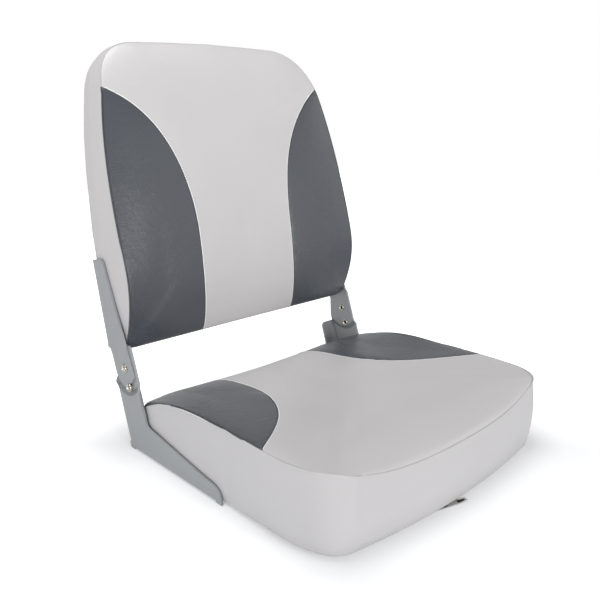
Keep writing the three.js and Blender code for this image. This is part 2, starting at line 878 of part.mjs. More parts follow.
function seatFace(x, y) {
  const side = Math.max(Math.abs(x) - seatBolsterStart, 0) / (seatFrontHalf - seatBolsterStart);
  const fade = 1 - seatBolsterFadeShare * ease((-y - seatBolsterFade / 2) / seatBolsterFade);
  const dish = seatDish * (1 - ease(Math.abs(x) / seatBolsterStart));
  return seatMiddle - seatRiseShare * y + seatBolster * side ** seatBolsterPower * fade - dish;
}

function seatRoundness(point) {
  const front = ease((-point.y - seatBolsterFade) / (seatCornerY - seatBolsterFade));
  const rear = ease((point.y - seatBolsterFade) / (seatRear - seatBolsterFade));
  const frontLoss = (seatRoundPower - seatRoundPowerFront) * front;
  return seatRoundPower - frontLoss - (seatRoundPower - seatRoundPowerRear) * rear;
}

function seatBulgeAt(point) {
  const front = ease((-point.y - seatBulgeStart) / seatBulgeRun);
  return seatSideBulge + (seatFrontBulge - seatSideBulge) * front;
}

// The band leans in towards its edge, and a little more along the front half's sides
function seatEdgeInsetAt(point) {
  const side = ease(Math.abs(point.x / seatFrontHalf) ** seatTuckPower);
  return seatEdgeInset + seatSideTuck * side * ease((-point.y - seatBulgeStart) / seatBulgeRun);
}

const seatLedge = sheetThickness + touchGap + vinyl + touchGap;

const seatCushion = makeCushion({
  outline: seatOutline(),
  middle: 0,
  seam: seatSeamHeight,
  face: seatFace,
  roundness: seatRoundness,
  bulge: seatBulgeAt,
  edgeInset: seatEdgeInsetAt,
  edge: sheetThickness + touchGap,
  base: panThickness + touchGap,
});

// A rear-corner panel of the seat in plan, reaching past the cushion on its outer sides
function seatPanelPrism(grow) {
  const inner = seatPanelHalf - grow;
  const outside = seatFrontHalf + farOverrun;
  const rear = seatRear + farOverrun;
  const pull = seatPanelCurveStart - (seatPanelCurveStart + seatPanelTip) * seatPanelPullShare;
  const shape = new THREE.Shape();
  shape.moveTo(inner, rear);
  shape.lineTo(inner, seatPanelCurveStart);
  shape.quadraticCurveTo(inner, pull - grow, seatFrontHalf, -seatPanelTip - grow);
  shape.lineTo(outside, -seatPanelTip - grow);
  shape.lineTo(outside, rear);
  return flatPlate(shape, -cutOverrun, 2 * seatSeam);
}

// Backrest cushion, drawn flat with its height towards the sitter

function backOutline() {
  const foot = backFoot;
  const side = (mirror) => new THREE.CubicBezierCurve(
    new THREE.Vector2(mirror * backWaistHalf, backWaistHeight),
    new THREE.Vector2(mirror * backBulgeHalf, backBulgeHeight),
    new THREE.Vector2(mirror * backShoulderHalf, backShoulderHeight),
    new THREE.Vector2(mirror * backNeckHalf, backNeckHeight),
  );
  const down = new THREE.CubicBezierCurve(side(-1).v3, side(-1).v2, side(-1).v1, side(-1).v0);
  return outlinePoints([
    [line(-backFootHalf, foot, backFootHalf, foot), 7],
    [bow(backFootHalf, foot, backWaistHalf, foot, backWaistHalf, backWaistHeight), 4],
    [side(1), 8],
    [bow(backNeckHalf, backNeckHeight, backCornerPull, backCornerTop, backTopHalf, backCornerTop), 5],
    [bow(backTopHalf, backCornerTop, 0, 2 * backTop - backCornerTop, -backTopHalf, backCornerTop), 5],
    [bow(-backTopHalf, backCornerTop, -backCornerPull, backCornerTop, -backNeckHalf, backNeckHeight), 5],
    [down, 8],
    [bow(-backWaistHalf, backWaistHeight, -backWaistHalf, foot, -backFootHalf, foot), 4],
  ]);
}

// How far a point of the back lies above the arms' tops, as a share from 0 to 1
function freeShare(point) {
  return ease((point.y - armHeight) / backBulgeRun);
}

function topShare(height) {
  return Math.max(height - backNeckHeight, 0) / (backTop - backNeckHeight);
}

function footShare(height) {
  return Math.max(backFootSeamStart - height, 0) / (backFootSeamStart - backFoot);
}

function backSeamHeight(x, y) {
  const level = backSeam - backSeamShare * Math.max(y - backSeamLevel, 0);
  const topDrop = backTopSeamDrop * topShare(y) ** backTopSeamPower;
  return level - topDrop - backFootSeamDrop * footShare(y) ** backFootSeamPower;
}

function backFaceHeight(x, y) {
  const side = (Math.abs(x) / backBulgeHalf) ** backBolsterPower;
  const fade = 1 - ease((y - backSeamLevel) / (backBolsterTop - backSeamLevel));
  return backFace + backBolster * side * fade;
}

function backRoundness(point) {
  const footLoss = (backRoundPower - backRoundPowerFoot) * ease(footShare(point.y));
  return backRoundPower - footLoss - (backRoundPower - backRoundPowerTop) * ease(topShare(point.y));
}

const armInnerFace = armRear - sheetThickness;
const rearPanelFace = -(armInnerFace - touchGap);
const backEdge = rearPanelFace + rearPanelThickness + touchGap;
const backLedge = backEdge + vinyl + touchGap;
const backBoardFace = backLedge + backBoardThickness;

const backCushion = makeCushion({
  outline: backOutline(),
  middle: backMiddleHeight,
  seam: backSeamHeight,
  face: backFaceHeight,
  roundness: backRoundness,
  bulge: (point) => backBulge + (backTopBulge - backBulge) * freeShare(point),
  edgeInset: (point) => backEdgeInset + (backTopEdgeInset - backEdgeInset) * freeShare(point),
  edge: backEdge,
  base: backBoardFace + touchGap,
});

// A dark side panel of the backrest in plan
function backPanelPrism(grow) {
  const inner = backPanelHalf - grow;
  const outside = backShoulderHalf + farOverrun;
  const foot = backFoot - farOverrun;
  const pull = backPanelCurveStart + (backPanelTip - backPanelCurveStart) * backPanelPullShare;
  const shape = new THREE.Shape();
  shape.moveTo(inner, foot);
  shape.lineTo(outside, foot);
  shape.lineTo(outside, backPanelTip + grow);
  shape.lineTo(backPanelTipHalf, backPanelTip + grow);
  shape.quadraticCurveTo(inner, pull + grow, inner, backPanelCurveStart);
  return flatPlate(shape, -backTop, backTop);
}

function mirrored(solid) {
  return solid.mirror([1, 0, 0]);
}

// Splits a crown into its middle and two side panels, with the seam's gap between them
function splitCrown(crown, prism) {
  const side = prism(0);
  const grown = prism(touchGap);
  return {
    middle: cut(crown, grown, mirrored(grown)),
    left: crown.intersect(side),
    right: crown.intersect(mirrored(side)),
  };
}

// Boards

function roundedPlan(half, front, rear, corner) {
  const shape = new THREE.Shape();
  shape.moveTo(-half + corner, front);
  shape.lineTo(half - corner, front);
  shape.absarc(half - corner, front + corner, corner, -Math.PI / 2, 0, false);
  shape.lineTo(half, rear - corner);
  shape.absarc(half - corner, rear - corner, corner, 0, Math.PI / 2, false);
  shape.lineTo(-half + corner, rear);
  shape.absarc(-half + corner, rear - corner, corner, Math.PI / 2, Math.PI, false);
  shape.lineTo(-half, front + corner);
  shape.absarc(-half + corner, front + corner, corner, Math.PI, Math.PI * 1.5, false);
  return shape;
}

function insertPlaces() {
  return [-1, 1].flatMap((sideX) => [-1, 1].map((sideY) => ({
    x: sideX * insertHalfX,
    y: sideY * insertHalfY,
  })));
}

function panSolid() {
  const plate = boardSolid(seatCushion, vinyl + touchGap * 2, seatLedge, panThickness);
  const pad = flatPlate(roundedPlan(padHalf, -padFront, padRear, padCorner), 0, seatLedge + weldLap);
  const boss = rod(bossRadius, sheetThickness + touchGap, seatLedge + weldLap);
  const pilot = screwHole(0, screwLength + touchGap);
  const seats = footScrewPlaces().flatMap(({ x, y }) => [[x, y, 0], [-x, y, 0]]);
  const counterbore = insertFlangeThickness + touchGap;
  const insertHole = fuse(
    rod(insertBarrel + touchGap, -cutOverrun, panThickness + cutOverrun),
    rod(insertFlange + touchGap, panThickness - counterbore, panThickness + cutOverrun),
  );
  const anchor = strapAnchorPlace();
  return cut(
    fuse(plate, pad, ...seats.map((place) => boss.translate(place))),
    ...seats.map((place) => pilot.translate(place)),
    ...insertPlaces().map(({ x, y }) => insertHole.translate([x, y, 0])),
    pilot.translate([anchor.x, anchor.y, 0]),
  );
}

function insertSolid() {
  const seat = panThickness - insertFlangeThickness;
  return turned([
    [insertBore, seat - insertBarrelLength],
    [insertBarrel, seat - insertBarrelLength],
    [insertBarrel, seat],
    [insertFlange, seat],
    [insertFlange, panThickness],
    [insertBore, panThickness],
    [insertBore, seat - insertBarrelLength],
  ]);
}

function backBoardSolid() {
  const plate = boardSolid(backCushion, vinyl + touchGap * 2, backLedge, backBoardFace);
  const padPlan = roundedPlan(backPadHalf, backPadFoot, backPadTop, backPadCorner);
  const pad = flatPlate(padPlan, backEdge, backLedge + weldLap);
  const reach = rearPanelFace + screwLength;
  const pilot = screwHole(rearPanelFace, reach);
  const holes = armScrewPlaces().flatMap(({ x, z }) => [[x, z, 0], [-x, z, 0]]);
  return cut(fuse(plate, pad), ...holes.map((place) => pilot.translate(place)));
}

function rearPanelSolid() {
  const front = rearPanelFace + rearPanelThickness;
  const panel = boardSolid(backCushion, rearPanelThickness, rearPanelFace, front);
  const hole = screwHole(rearPanelFace - cutOverrun, backEdge);
  const holes = armScrewPlaces().flatMap(({ x, z }) => [[x, z, 0], [-x, z, 0]]);
  return cut(panel, ...holes.map((place) => hole.translate(place)));
}

// Hold-down strap, drawn along +X from its anchored end and then turned into place

function strapAnchorPlace() {
  const turn = degrees(strapTurn);
  return {
    x: -strapAnchorX + strapScrewInset * Math.cos(turn),
    y: -strapAnchorY + strapScrewInset * Math.sin(turn),
  };
}

function strapPlace(solid) {
  return solid.rotate([0, 0, strapTurn]).translate([-strapAnchorX, -strapAnchorY, 0]);
}

// A ribbon whose top follows height(along), extruded across its width
function ribbon(length, thickness, width, height) {
  const shape = new THREE.Shape();
  for (let step = 0; step <= ribbonSteps; step += 1) {
    const along = length * step / ribbonSteps;
    if (step === 0) shape.moveTo(along, height(along) - thickness);
    if (step > 0) shape.lineTo(along, height(along) - thickness);
  }
  for (let step = ribbonSteps; step >= 0; step -= 1) {
    const along = length * step / ribbonSteps;
    shape.lineTo(along, height(along));
  }
  const settings = { depth: width, bevelEnabled: false, curveSegments: arcSteps };
  const geometry = new THREE.ExtrudeGeometry(shape, settings);
  geometry.rotateX(Math.PI / 2);
  geometry.translate(0, width / 2, 0);
  return toSolid(geometry);
}

const strapHigh = seatLedge - touchGap;
const strapLow = hookThickness + touchGap + strapThickness;

function strapTop(along) {
  return strapHigh - (strapHigh - strapLow) * ease((along - strapDipStart) / strapDipLength);
}

function strapSolid() {
  const hole = screwHole(-cutOverrun, panThickness);
  const rivetHole = rod(strapRivetRadius + touchGap, -cutOverrun, panThickness);
  return cut(
    ribbon(strapLength, strapThickness, strapWidth, strapTop),
    hole.translate([strapScrewInset, 0, 0]),
    rivetHole.translate([strapLength - strapRivetInset, -strapRivetOffset, 0]),
  );
}

// A stamped hook: wide where the strap is riveted to it, and tapered to a turned-up tongue
function hookSolid() {
  const half = hookHeadWidth / 2;
  const plan = new THREE.Shape();
  plan.moveTo(0, -half);
  plan.lineTo(hookWideLength, -half);
  plan.lineTo(hookLength, -half);
  plan.lineTo(hookLength, hookTipWidth - half);
  plan.lineTo(hookWideLength, half);
  plan.lineTo(0, half);
  const rise = (along) => hookThickness + hookLipHeight * ease((along - hookLipStart) / hookLipRun);
  const blade = ribbon(hookLength, hookThickness, hookHeadWidth, rise);
  const hookStart = strapLength - hookWideLength;
  const rivetHole = rod(strapRivetRadius + touchGap, -cutOverrun, panThickness);
  const rivetPlace = [hookWideLength - strapRivetInset, -strapRivetOffset, 0];
  const slot = box(hookSlot, strapWidth, 2 * panThickness, hookBar + hookSlot / 2, 0, 0);
  const shaped = blade.intersect(flatPlate(plan, -cutOverrun, panThickness));
  return cut(shaped, slot, rivetHole.translate(rivetPlace)).translate([hookStart, 0, 0]);
}

function strapRivetSolid() {
  const top = strapLow + touchGap / 2;
  return turned([
    [0, 0],
    [strapRivetRadius, 0],
    [strapRivetRadius, top],
    [strapRivetHeadRadius, top],
    [strapRivetHeadRadius, top + strapRivetHead],
    [0, top + strapRivetHead],
  ], screwArc).translate([strapLength - strapRivetInset, -strapRivetOffset, 0]);
}

function washerSolid() {
  const top = strapHigh - strapThickness - touchGap;
  return cut(
    rod(washerRadius, top - washerThickness, top),
    screwHole(-cutOverrun, panThickness),
  ).translate([strapScrewInset, 0, 0]);
}

function strapScrewSolid() {
  const seat = strapHigh - strapThickness - touchGap - washerThickness - touchGap;
  const reach = panThickness - touchGap;
  return turned([
    [0, touchGap],
    [screwHeadRadius * panHeadCrownShare, touchGap],
    [screwHeadRadius, seat],
    [screwRadius, seat],
    [screwRadius, reach - screwPoint],
    [0, reach],
  ], screwArc).translate([strapScrewInset, 0, 0]);
}

// Assembly

function node(name, solid, material) {
  const mesh = new THREE.Mesh(toGeometry(solid), material);
  mesh.name = name;
  return mesh;
}

// A left and a right node from one solid drawn on the left
function pair(name, solid, material) {
  return [
    node(`${name}_left`, solid, material),
    node(`${name}_right`, mirrored(solid), material),
  ];
}

function seatBody() {
  const group = new THREE.Group();
  const crown = splitCrown(crownSolid(seatCushion), seatPanelPrism);
  const hinge = [0, pivotY, pivotZ];
  group.add(
    node('seat_pan', panSolid(), mouldedPlastic),
    node('seat_foam', foamSolid(seatCushion), foamFinish),
    node('seat_cover_middle', crown.middle, lightVinyl),
    node('seat_cover_corner_left', crown.left, darkVinyl),
    node('seat_cover_corner_right', crown.right, darkVinyl),
    node('seat_cover_band', bandSolid(seatCushion), lightVinyl),
    ...pair('lower_bracket', bracketSolid(), paintedSteel),
  );
  const pivotRivet = rivetSolid(earInner - touchGap, hingeHalfSpan + touchGap).translate(hinge);
  const stopPin = stopPlace(rivetSolid(earInner - touchGap, hingeHalfSpan + touchGap)).translate(hinge);
  group.add(...pair('pivot_rivet', pivotRivet, platedSteel));
  group.add(...pair('stop_pin', stopPin, platedSteel));
  footScrewPlaces().forEach(({ x, y }, index) => {
    group.add(...pair(`bracket_screw_${index + 1}`, footScrewSolid().translate([x, y, 0]), platedSteel));
  });
  insertPlaces().forEach(({ x, y }, index) => {
    group.add(node(`threaded_insert_${index + 1}`, insertSolid().translate([x, y, 0]), platedSteel));
  });
  group.add(
    node('hold_down_strap', strapPlace(strapSolid()), webbing),
    node('strap_hook', strapPlace(hookSolid()), platedSteel),
    node('strap_rivet', strapPlace(strapRivetSolid()), platedSteel),
    node('strap_washer', strapPlace(washerSolid()), platedSteel),
    node('strap_screw', strapPlace(strapScrewSolid()), platedSteel),
  );
  return group;
}

// Turns a solid drawn flat, with its height towards the sitter, up into the backrest's frame
function upright(solid) {
  return solid.rotate([90, 0, 0]);
}

function backBody() {
  const group = new THREE.Group();
  const crown = splitCrown(crownSolid(backCushion), backPanelPrism);
  group.add(
    node('back_board', upright(backBoardSolid()), mouldedPlastic),
    node('back_foam', upright(foamSolid(backCushion)), foamFinish),
    node('back_cover_middle', upright(crown.middle), lightVinyl),
    node('back_cover_side_left', upright(crown.left), darkVinyl),
    node('back_cover_side_right', upright(crown.right), darkVinyl),
    node('back_cover_band', upright(bandSolid(backCushion)), lightVinyl),
    node('back_rear_panel', upright(rearPanelSolid()), panelPlastic),
    ...pair('upper_arm', armSolid(), paintedSteel),
  );
  armScrewPlaces().forEach(({ x, z }, index) => {
    const screw = alongMinusY(armScrewSolid()).translate([x, armRear + touchGap, z]);
    group.add(...pair(`arm_screw_${index + 1}`, screw, platedSteel));
  });
  group.position.set(0, pivotY, pivotZ);
  group.rotation.x = -degrees(backRecline);
  return group;
}

const seat = new THREE.Group();
seat.add(seatBody(), backBody());

export default seat;
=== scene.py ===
# %% [markdown]
# # A folding boat seat
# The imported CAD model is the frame: its bodies, hinge line and sizes stay as they are. This
# lesson dresses it. It makes the camera and the light, then the finishes, then the sewn
# cushions, the stitches, the stamped hinges and the small hardware.

# %% Load the frame and measure it
import json
import math

import bmesh
import bpy
import numpy as np
from mathutils import Matrix, Vector, noise
from mathutils.bvhtree import BVHTree
from mathutils.interpolate import poly_3d_calc


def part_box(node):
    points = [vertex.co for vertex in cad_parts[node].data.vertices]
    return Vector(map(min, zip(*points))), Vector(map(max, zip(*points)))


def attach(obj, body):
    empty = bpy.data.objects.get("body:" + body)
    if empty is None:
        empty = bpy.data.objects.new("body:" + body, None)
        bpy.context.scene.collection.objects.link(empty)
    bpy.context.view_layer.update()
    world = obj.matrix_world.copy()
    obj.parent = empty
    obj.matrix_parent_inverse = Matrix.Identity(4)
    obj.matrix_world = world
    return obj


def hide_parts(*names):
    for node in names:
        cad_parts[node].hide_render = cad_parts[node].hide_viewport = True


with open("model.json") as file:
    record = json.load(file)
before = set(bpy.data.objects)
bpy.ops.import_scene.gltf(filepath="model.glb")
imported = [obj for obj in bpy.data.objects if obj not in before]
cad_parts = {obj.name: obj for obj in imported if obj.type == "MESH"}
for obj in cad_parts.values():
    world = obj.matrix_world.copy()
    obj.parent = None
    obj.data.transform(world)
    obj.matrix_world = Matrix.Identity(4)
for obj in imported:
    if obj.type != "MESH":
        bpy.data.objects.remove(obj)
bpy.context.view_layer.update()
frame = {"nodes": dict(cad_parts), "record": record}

MM = 0.001
SEAT_BODY = "seat"
BACK_BODY = "backrest"


def placed(name, data):
    """A new object in the scene, at the origin, that shows this mesh, lamp or camera."""
    obj = bpy.data.objects.new(name, data)
    bpy.context.scene.collection.objects.link(obj)
    return obj


# %% [markdown]
# ## Camera
# The photograph was taken from in front of the seat, on the sitter's right, and a little above
# it. The turn, the height and the distance were fitted to corners of the seat whose places in
# the CAD model are known.

# %% Put the camera where the photographer stood
CAMERA_TURN = math.radians(-43.3814)
CAMERA_RISE = math.radians(15.7442)
CAMERA_ROLL = math.radians(-0.038)
CAMERA_PLACE = Vector((-0.652, -0.5998, 0.4603))
CAMERA_LENS = 42.213
SENSOR_WIDTH = 36
NEAREST_SEEN = 0.01

camera = placed("camera", bpy.data.cameras.new("camera"))
bpy.context.scene.camera = camera
toward_camera = Vector((
    math.sin(CAMERA_TURN) * math.cos(CAMERA_RISE),
    -math.cos(CAMERA_TURN) * math.cos(CAMERA_RISE),
    math.sin(CAMERA_RISE),
))
level = Vector((math.cos(CAMERA_TURN), math.sin(CAMERA_TURN), 0))
upward = toward_camera.cross(level)
right = level * math.cos(CAMERA_ROLL) + upward * math.sin(CAMERA_ROLL)
upward = upward * math.cos(CAMERA_ROLL) - level * math.sin(CAMERA_ROLL)
turned = Matrix((right, upward, toward_camera)).transposed().to_4x4()
turned.translation = CAMERA_PLACE
camera.matrix_world = turned
camera.data.lens = CAMERA_LENS
camera.data.sensor_width = SENSOR_WIDTH
camera.data.clip_start = NEAREST_SEEN
print("camera at", tuple(round(value, 3) for value in camera.location))

# %% [markdown]
# ## Writing shaders as sums
# A procedural finish is arithmetic on sockets. This class lets the arithmetic be written as it
# would be on paper: each operator adds the Math node that does it.

# %% A socket that can stand in a sum
class Term:
    def __init__(self, tree, socket):
        self.tree = tree
        self.socket = socket

    def math(self, operation, first, second):
        node = self.tree.nodes.new("ShaderNodeMath")
        node.operation = operation
        for place, value in enumerate((first, second)):
            connect(self.tree, node.inputs[place], value)
        return Term(self.tree, node.outputs[0])

    def __add__(self, other):
        return self.math("ADD", self, other)

    def __mul__(self, other):
        return self.math("MULTIPLY", self, other)

    def __sub__(self, other):
        return self.math("SUBTRACT", self, other)

    def __rsub__(self, other):
        return self.math("SUBTRACT", other, self)

    __radd__ = __add__
    __rmul__ = __mul__


def connect(tree, socket, value):
    if isinstance(value, Term):
        tree.links.new(value.socket, socket)
    else:
        socket.default_value = value


print("sockets can now be added, subtracted and multiplied")

# %% Any node with its settings, and a finish that adds nodes
MIX_FIRST, MIX_SECOND, MIX_COLOR = 6, 7, 2


def added(tree, kind, settings, inputs, output=0):
    node = tree.nodes.new(kind)
    for name, value in settings.items():
        setattr(node, name, value)
    for name, value in inputs.items():
        connect(tree, node.inputs[name], value)
    return Term(tree, node.outputs[output])


def smooth_step(tree, value, low, high):
    """0 up to low, 1 from high on, and a smooth rise between them."""
    return added(tree, "ShaderNodeMapRange", {"interpolation_type": "SMOOTHSTEP"}, {
        "Value": value, "From Min": low, "From Max": high,
    })


class Finish:
    """A material with a Principled shader, and one method that adds any other node."""

    def __init__(self, name, color, roughness, metallic=0.0):
        self.material = bpy.data.materials.new(name)
        self.material.use_nodes = True
        self.tree = self.material.node_tree
        self.shader = self.tree.nodes["Principled BSDF"]
        self.set("Base Color", (*color, 1.0))
        self.set("Roughness", roughness)
        self.set("Metallic", metallic)

    def set(self, name, value):
        connect(self.tree, self.shader.inputs[name], value)

    def node(self, kind, settings, inputs, output=0):
        return added(self.tree, kind, settings, inputs, output)

    def place(self):
        return self.node("ShaderNodeTexCoord", {}, {}, "Object")

    def noise(self, scale, detail):
        return self.node("ShaderNodeTexNoise", {}, {
            "Vector": self.place(), "Scale": scale, "Detail": detail,
        })

    def grain(self, height, strength, distance):
        bump = self.node("ShaderNodeBump", {}, {
            "Strength": strength, "Distance": distance, "Height": height,
        })
        self.set("Normal", bump)

    def two_tones(self, first, second, share):
        mixed = self.node("ShaderNodeMix", {"data_type": "RGBA"}, {
            "Factor": share, MIX_FIRST: (*first, 1.0), MIX_SECOND: (*second, 1.0),
        }, MIX_COLOR)
        self.set("Base Color", mixed)

    def vary_roughness(self, pattern, middle, span):
        """The roughness wanders with a pattern that runs from 0 to 1."""
        self.set("Roughness", pattern * span + (middle - span / 2))


print("the mixed colours go in at sockets", MIX_FIRST, "and", MIX_SECOND)

# %% Levels of a picture as a shader takes them
def linear(*levels):
    """Levels from 0 to 255 as a picture shows them, as the linear numbers that a shader takes."""
    shares = [value / 255 for value in levels]
    return tuple(v / 12.92 if v <= 0.04045 else ((v + 0.055) / 1.055) ** 2.4 for v in shares)


print("a mid grey of 128 is", round(linear(128)[0], 3), "in a shader")

# %% [markdown]
# ## Finishes
# Marine vinyl is a soft plastic skin with a fine leather grain. It is satin: a broad soft
# sheen, and no mirror. The hinge steel is powder coated, so it has a faint orange peel. The
# rivets are bright nickel. Each pattern reads Object coordinates, so it stays on its piece.

# %% Vinyl, light and charcoal
CLOUD_SCALE = 9.0
PORE_SCALE = 900.0
CREASE_SCALE = 420.0
BROAD_SCALE = 130.0
GRAIN_DEPTH = 0.4 * MM


def vinyl(name, color, deep, roughness, pebble):
    made = Finish(name, color, roughness)
    cloud = made.noise(CLOUD_SCALE, 2.0)
    made.two_tones(color, deep, cloud)
    pores = made.node("ShaderNodeTexVoronoi", {"feature": "F1"}, {
        "Vector": made.place(), "Scale": PORE_SCALE,
    }, "Distance")
    creases = made.noise(CREASE_SCALE, 3.0)
    broad = made.noise(BROAD_SCALE, 3.0)
    made.grain(pores * 0.6 + creases + broad * 1.6, pebble, GRAIN_DEPTH)
    made.vary_roughness(cloud, roughness, 0.10)
    return made.material


LIGHT = vinyl("light vinyl", linear(205, 203, 204), linear(200, 198, 199), 0.38, 0.22)
DARK = vinyl("charcoal vinyl", linear(79, 83, 89), linear(73, 76, 82), 0.27, 0.55)
print("vinyl made:", LIGHT.name, "and", DARK.name)

# %% Steel, plastic, webbing and thread
PEEL_SCALE = 700.0
PEEL_DEPTH = 0.3 * MM
HAZE_SCALE = 160.0
RIB_SCALE = 260.0
RIB_DEPTH = 0.6 * MM


def powder_coat(name, color, roughness):
    made = Finish(name, color, roughness)
    peel = made.noise(PEEL_SCALE, 2.0)
    made.grain(peel, 0.12, PEEL_DEPTH)
    made.vary_roughness(peel, roughness, 0.12)
    return made.material


def plain(name, color, roughness, metallic=0.0):
    made = Finish(name, color, roughness, metallic)
    made.vary_roughness(made.noise(HAZE_SCALE, 2.0), roughness, 0.08)
    return made.material


def woven(name, color, deep):
    made = Finish(name, color, 0.85)
    ribs = made.node("ShaderNodeTexWave", {"bands_direction": "DIAGONAL"}, {
        "Vector": made.place(), "Scale": RIB_SCALE, "Distortion": 0.4,
    }, "Fac")
    made.two_tones(color, deep, ribs)
    made.grain(ribs, 0.5, RIB_DEPTH)
    return made.material


STEEL = powder_coat("grey powder coat", linear(160, 163, 165), 0.36)
# The darker coat on the pressed step is painted shade.
STEEL_STEP_SHADE = powder_coat("stretched powder coat", linear(132, 137, 139), 0.4)
# The lighter, glossier coat on the rounded edges is a painted highlight.
STEEL_EDGE_HIGHLIGHT = powder_coat("rubbed powder coat", linear(196, 199, 199), 0.24)
NICKEL = plain("bright nickel", linear(228, 222, 214), 0.16, 1.0)
ZINC = plain("zinc plate", linear(214, 213, 210), 0.34, 0.6)
BOARD = plain("moulded board", linear(54, 56, 58), 0.6)
PANEL = plain("rear skin", linear(186, 185, 187), 0.5)
WEBBING = woven("black webbing", linear(26, 26, 28), linear(46, 46, 50))
# A near-black finish for the bottoms of hollows: painted shade in the rivets, the eyelet and the
# hook.
HOLLOW_SHADE = plain("recess with painted shade", linear(34, 31, 29), 0.45, 0.4)
# The turned edge's near-white colour is a painted highlight on the folded light vinyl.
PALE_EDGE_HIGHLIGHT = plain("turned pale edge", linear(250, 249, 249), 0.4)
PALE_THREAD = plain("pale thread", linear(176, 175, 177), 0.6)
DARK_THREAD = plain("dark thread", linear(58, 60, 63), 0.7)
print("finishes made:", len(bpy.data.materials))

# %% [markdown]
# ## Studio
# The photograph has a white sweep with a soft shadow close round the seat. The floor here is
# white and takes the shadow, and it glows more and more with its distance from the seat, until
# it melts into the white room. In the photograph the front is lighter than the side near the
# camera and the top, and a narrow highlight runs down the backrest's near roll. So the room is
# bright round the horizon and dim overhead, and a tall narrow soft box stands in front. The
# others stand at the picture's left and above.

# %% White room
HORIZON_LEVEL = 0.76
GLOSS_GAIN = 0.45
CEILING_LEVEL = 0.16
BEHIND_DIM = 0.4
BEHIND_TO = 0.8
CEILING_FROM = 0.30
CEILING_TO = 0.62

world = bpy.data.worlds.new("studio")
bpy.context.scene.world = world
world.use_nodes = True
sky = world.node_tree
room = sky.nodes["Background"]
room.inputs["Color"].default_value = (1, 1, 1, 1)
seen = added(sky, "ShaderNodeLightPath", {}, {}, "Is Camera Ray")
toward = added(sky, "ShaderNodeTexCoord", {}, {}, "Generated")
height = added(sky, "ShaderNodeSeparateXYZ", {}, {"Vector": toward}, "Z")
depth = added(sky, "ShaderNodeSeparateXYZ", {}, {"Vector": toward}, "Y")
overhead = smooth_step(sky, height, CEILING_FROM, CEILING_TO)
behind = smooth_step(sky, depth, 0.0, BEHIND_TO)
lit_level = overhead * (CEILING_LEVEL - HORIZON_LEVEL) + HORIZON_LEVEL
mirrored = added(sky, "ShaderNodeLightPath", {}, {}, "Is Glossy Ray")
lit_level = lit_level * (1 - behind * BEHIND_DIM) * (mirrored * GLOSS_GAIN + 1)
connect(sky, room.inputs["Strength"], seen + (1 - seen) * lit_level)

print("the room is lit at", HORIZON_LEVEL, "round the horizon and", CEILING_LEVEL, "overhead")

# %% White floor
FLOOR_HALF = 3.0
FLOOR_DROP = 0.3 * MM
FOOTPRINT = 0.21
FOOTPRINT_GLOW = 0.42
SHADOW_CLEAR = 0.30
SHADOW_GONE = 0.80
NEAR_GLOW = 0.24
GLOW = 1.1
GLOW_SEEN = 1.5
GLOW_MIRRORED = 0.6

bpy.ops.object.select_all(action="DESELECT")
bpy.ops.mesh.primitive_plane_add(size=2 * FLOOR_HALF, location=(0, 0, 0))
floor = bpy.context.object
floor.name = "floor"
bpy.ops.object.mode_set(mode="EDIT")
bpy.ops.mesh.subdivide(number_cuts=8)
bpy.ops.object.mode_set(mode="OBJECT")
for corner in floor.data.vertices:
    corner.co.z = -FLOOR_DROP
sweep = Finish("white_floor", (0.93, 0.94, 0.965), 0.9)
reach = sweep.node("ShaderNodeVectorMath", {"operation": "LENGTH"}, {0: sweep.place()}, "Value")
far = smooth_step(sweep.tree, reach, SHADOW_CLEAR, SHADOW_GONE)
by_camera = sweep.node("ShaderNodeLightPath", {}, {}, "Is Camera Ray")
by_gloss = sweep.node("ShaderNodeLightPath", {}, {}, "Is Glossy Ray")
glow = sweep.node("ShaderNodeEmission", {}, {
    "Color": (1, 1, 1, 1),
    "Strength": by_camera * (GLOW_SEEN - GLOW) + by_gloss * (GLOW_MIRRORED - GLOW) + GLOW,
})
lit = Term(sweep.tree, sweep.shader.outputs["BSDF"])
sides = [sweep.node("ShaderNodeSeparateXYZ", {}, {0: sweep.place()}, axis) for axis in "XY"]
widths = [side.math("ABSOLUTE", side, 0.0) for side in sides]
widest = widths[0].math("MAXIMUM", *widths)
beside = smooth_step(sweep.tree, widest, FOOTPRINT, FOOTPRINT_GLOW)
seen_glow = beside * (1 - NEAR_GLOW) + NEAR_GLOW
share = far + (1 - far) * (by_camera * seen_glow + by_gloss * NEAR_GLOW)
mixed = sweep.node("ShaderNodeMixShader", {}, {0: share, 1: lit, 2: glow})
sweep.tree.links.new(mixed.socket, sweep.tree.nodes["Material Output"].inputs["Surface"])
floor.data.materials.append(sweep.material)
print("the floor is", 2 * FLOOR_HALF, "m wide, and its shadow is gone at", SHADOW_GONE, "m")

# %% Soft boxes
def soft_box(name, place, target, size, power):
    lamp = bpy.data.lights.new(name, "AREA")
    lamp.energy = power
    lamp.shape = "RECTANGLE"
    lamp.size, lamp.size_y = size
    holder = placed(name, lamp)
    holder.location = place
    aim = Vector(target) - Vector(place)
    holder.rotation_euler = aim.to_track_quat("-Z", "Y").to_euler()
    return holder


LAMPS = [
    soft_box("front_box", (0.40, -2.2, 0.30), (0, 0, 0.10), (0.26, 1.0), 17.0),
    soft_box("left_box", (-1.7, -0.6, 0.45), (0, 0.1, 0.15), (0.8, 0.6), 7.5),
    soft_box("top_box", (-0.2, 0.3, 2.2), (0, 0, 0.1), (1.2, 1.0), 27.0),
]
print("soft boxes:", [lamp.name for lamp in LAMPS])

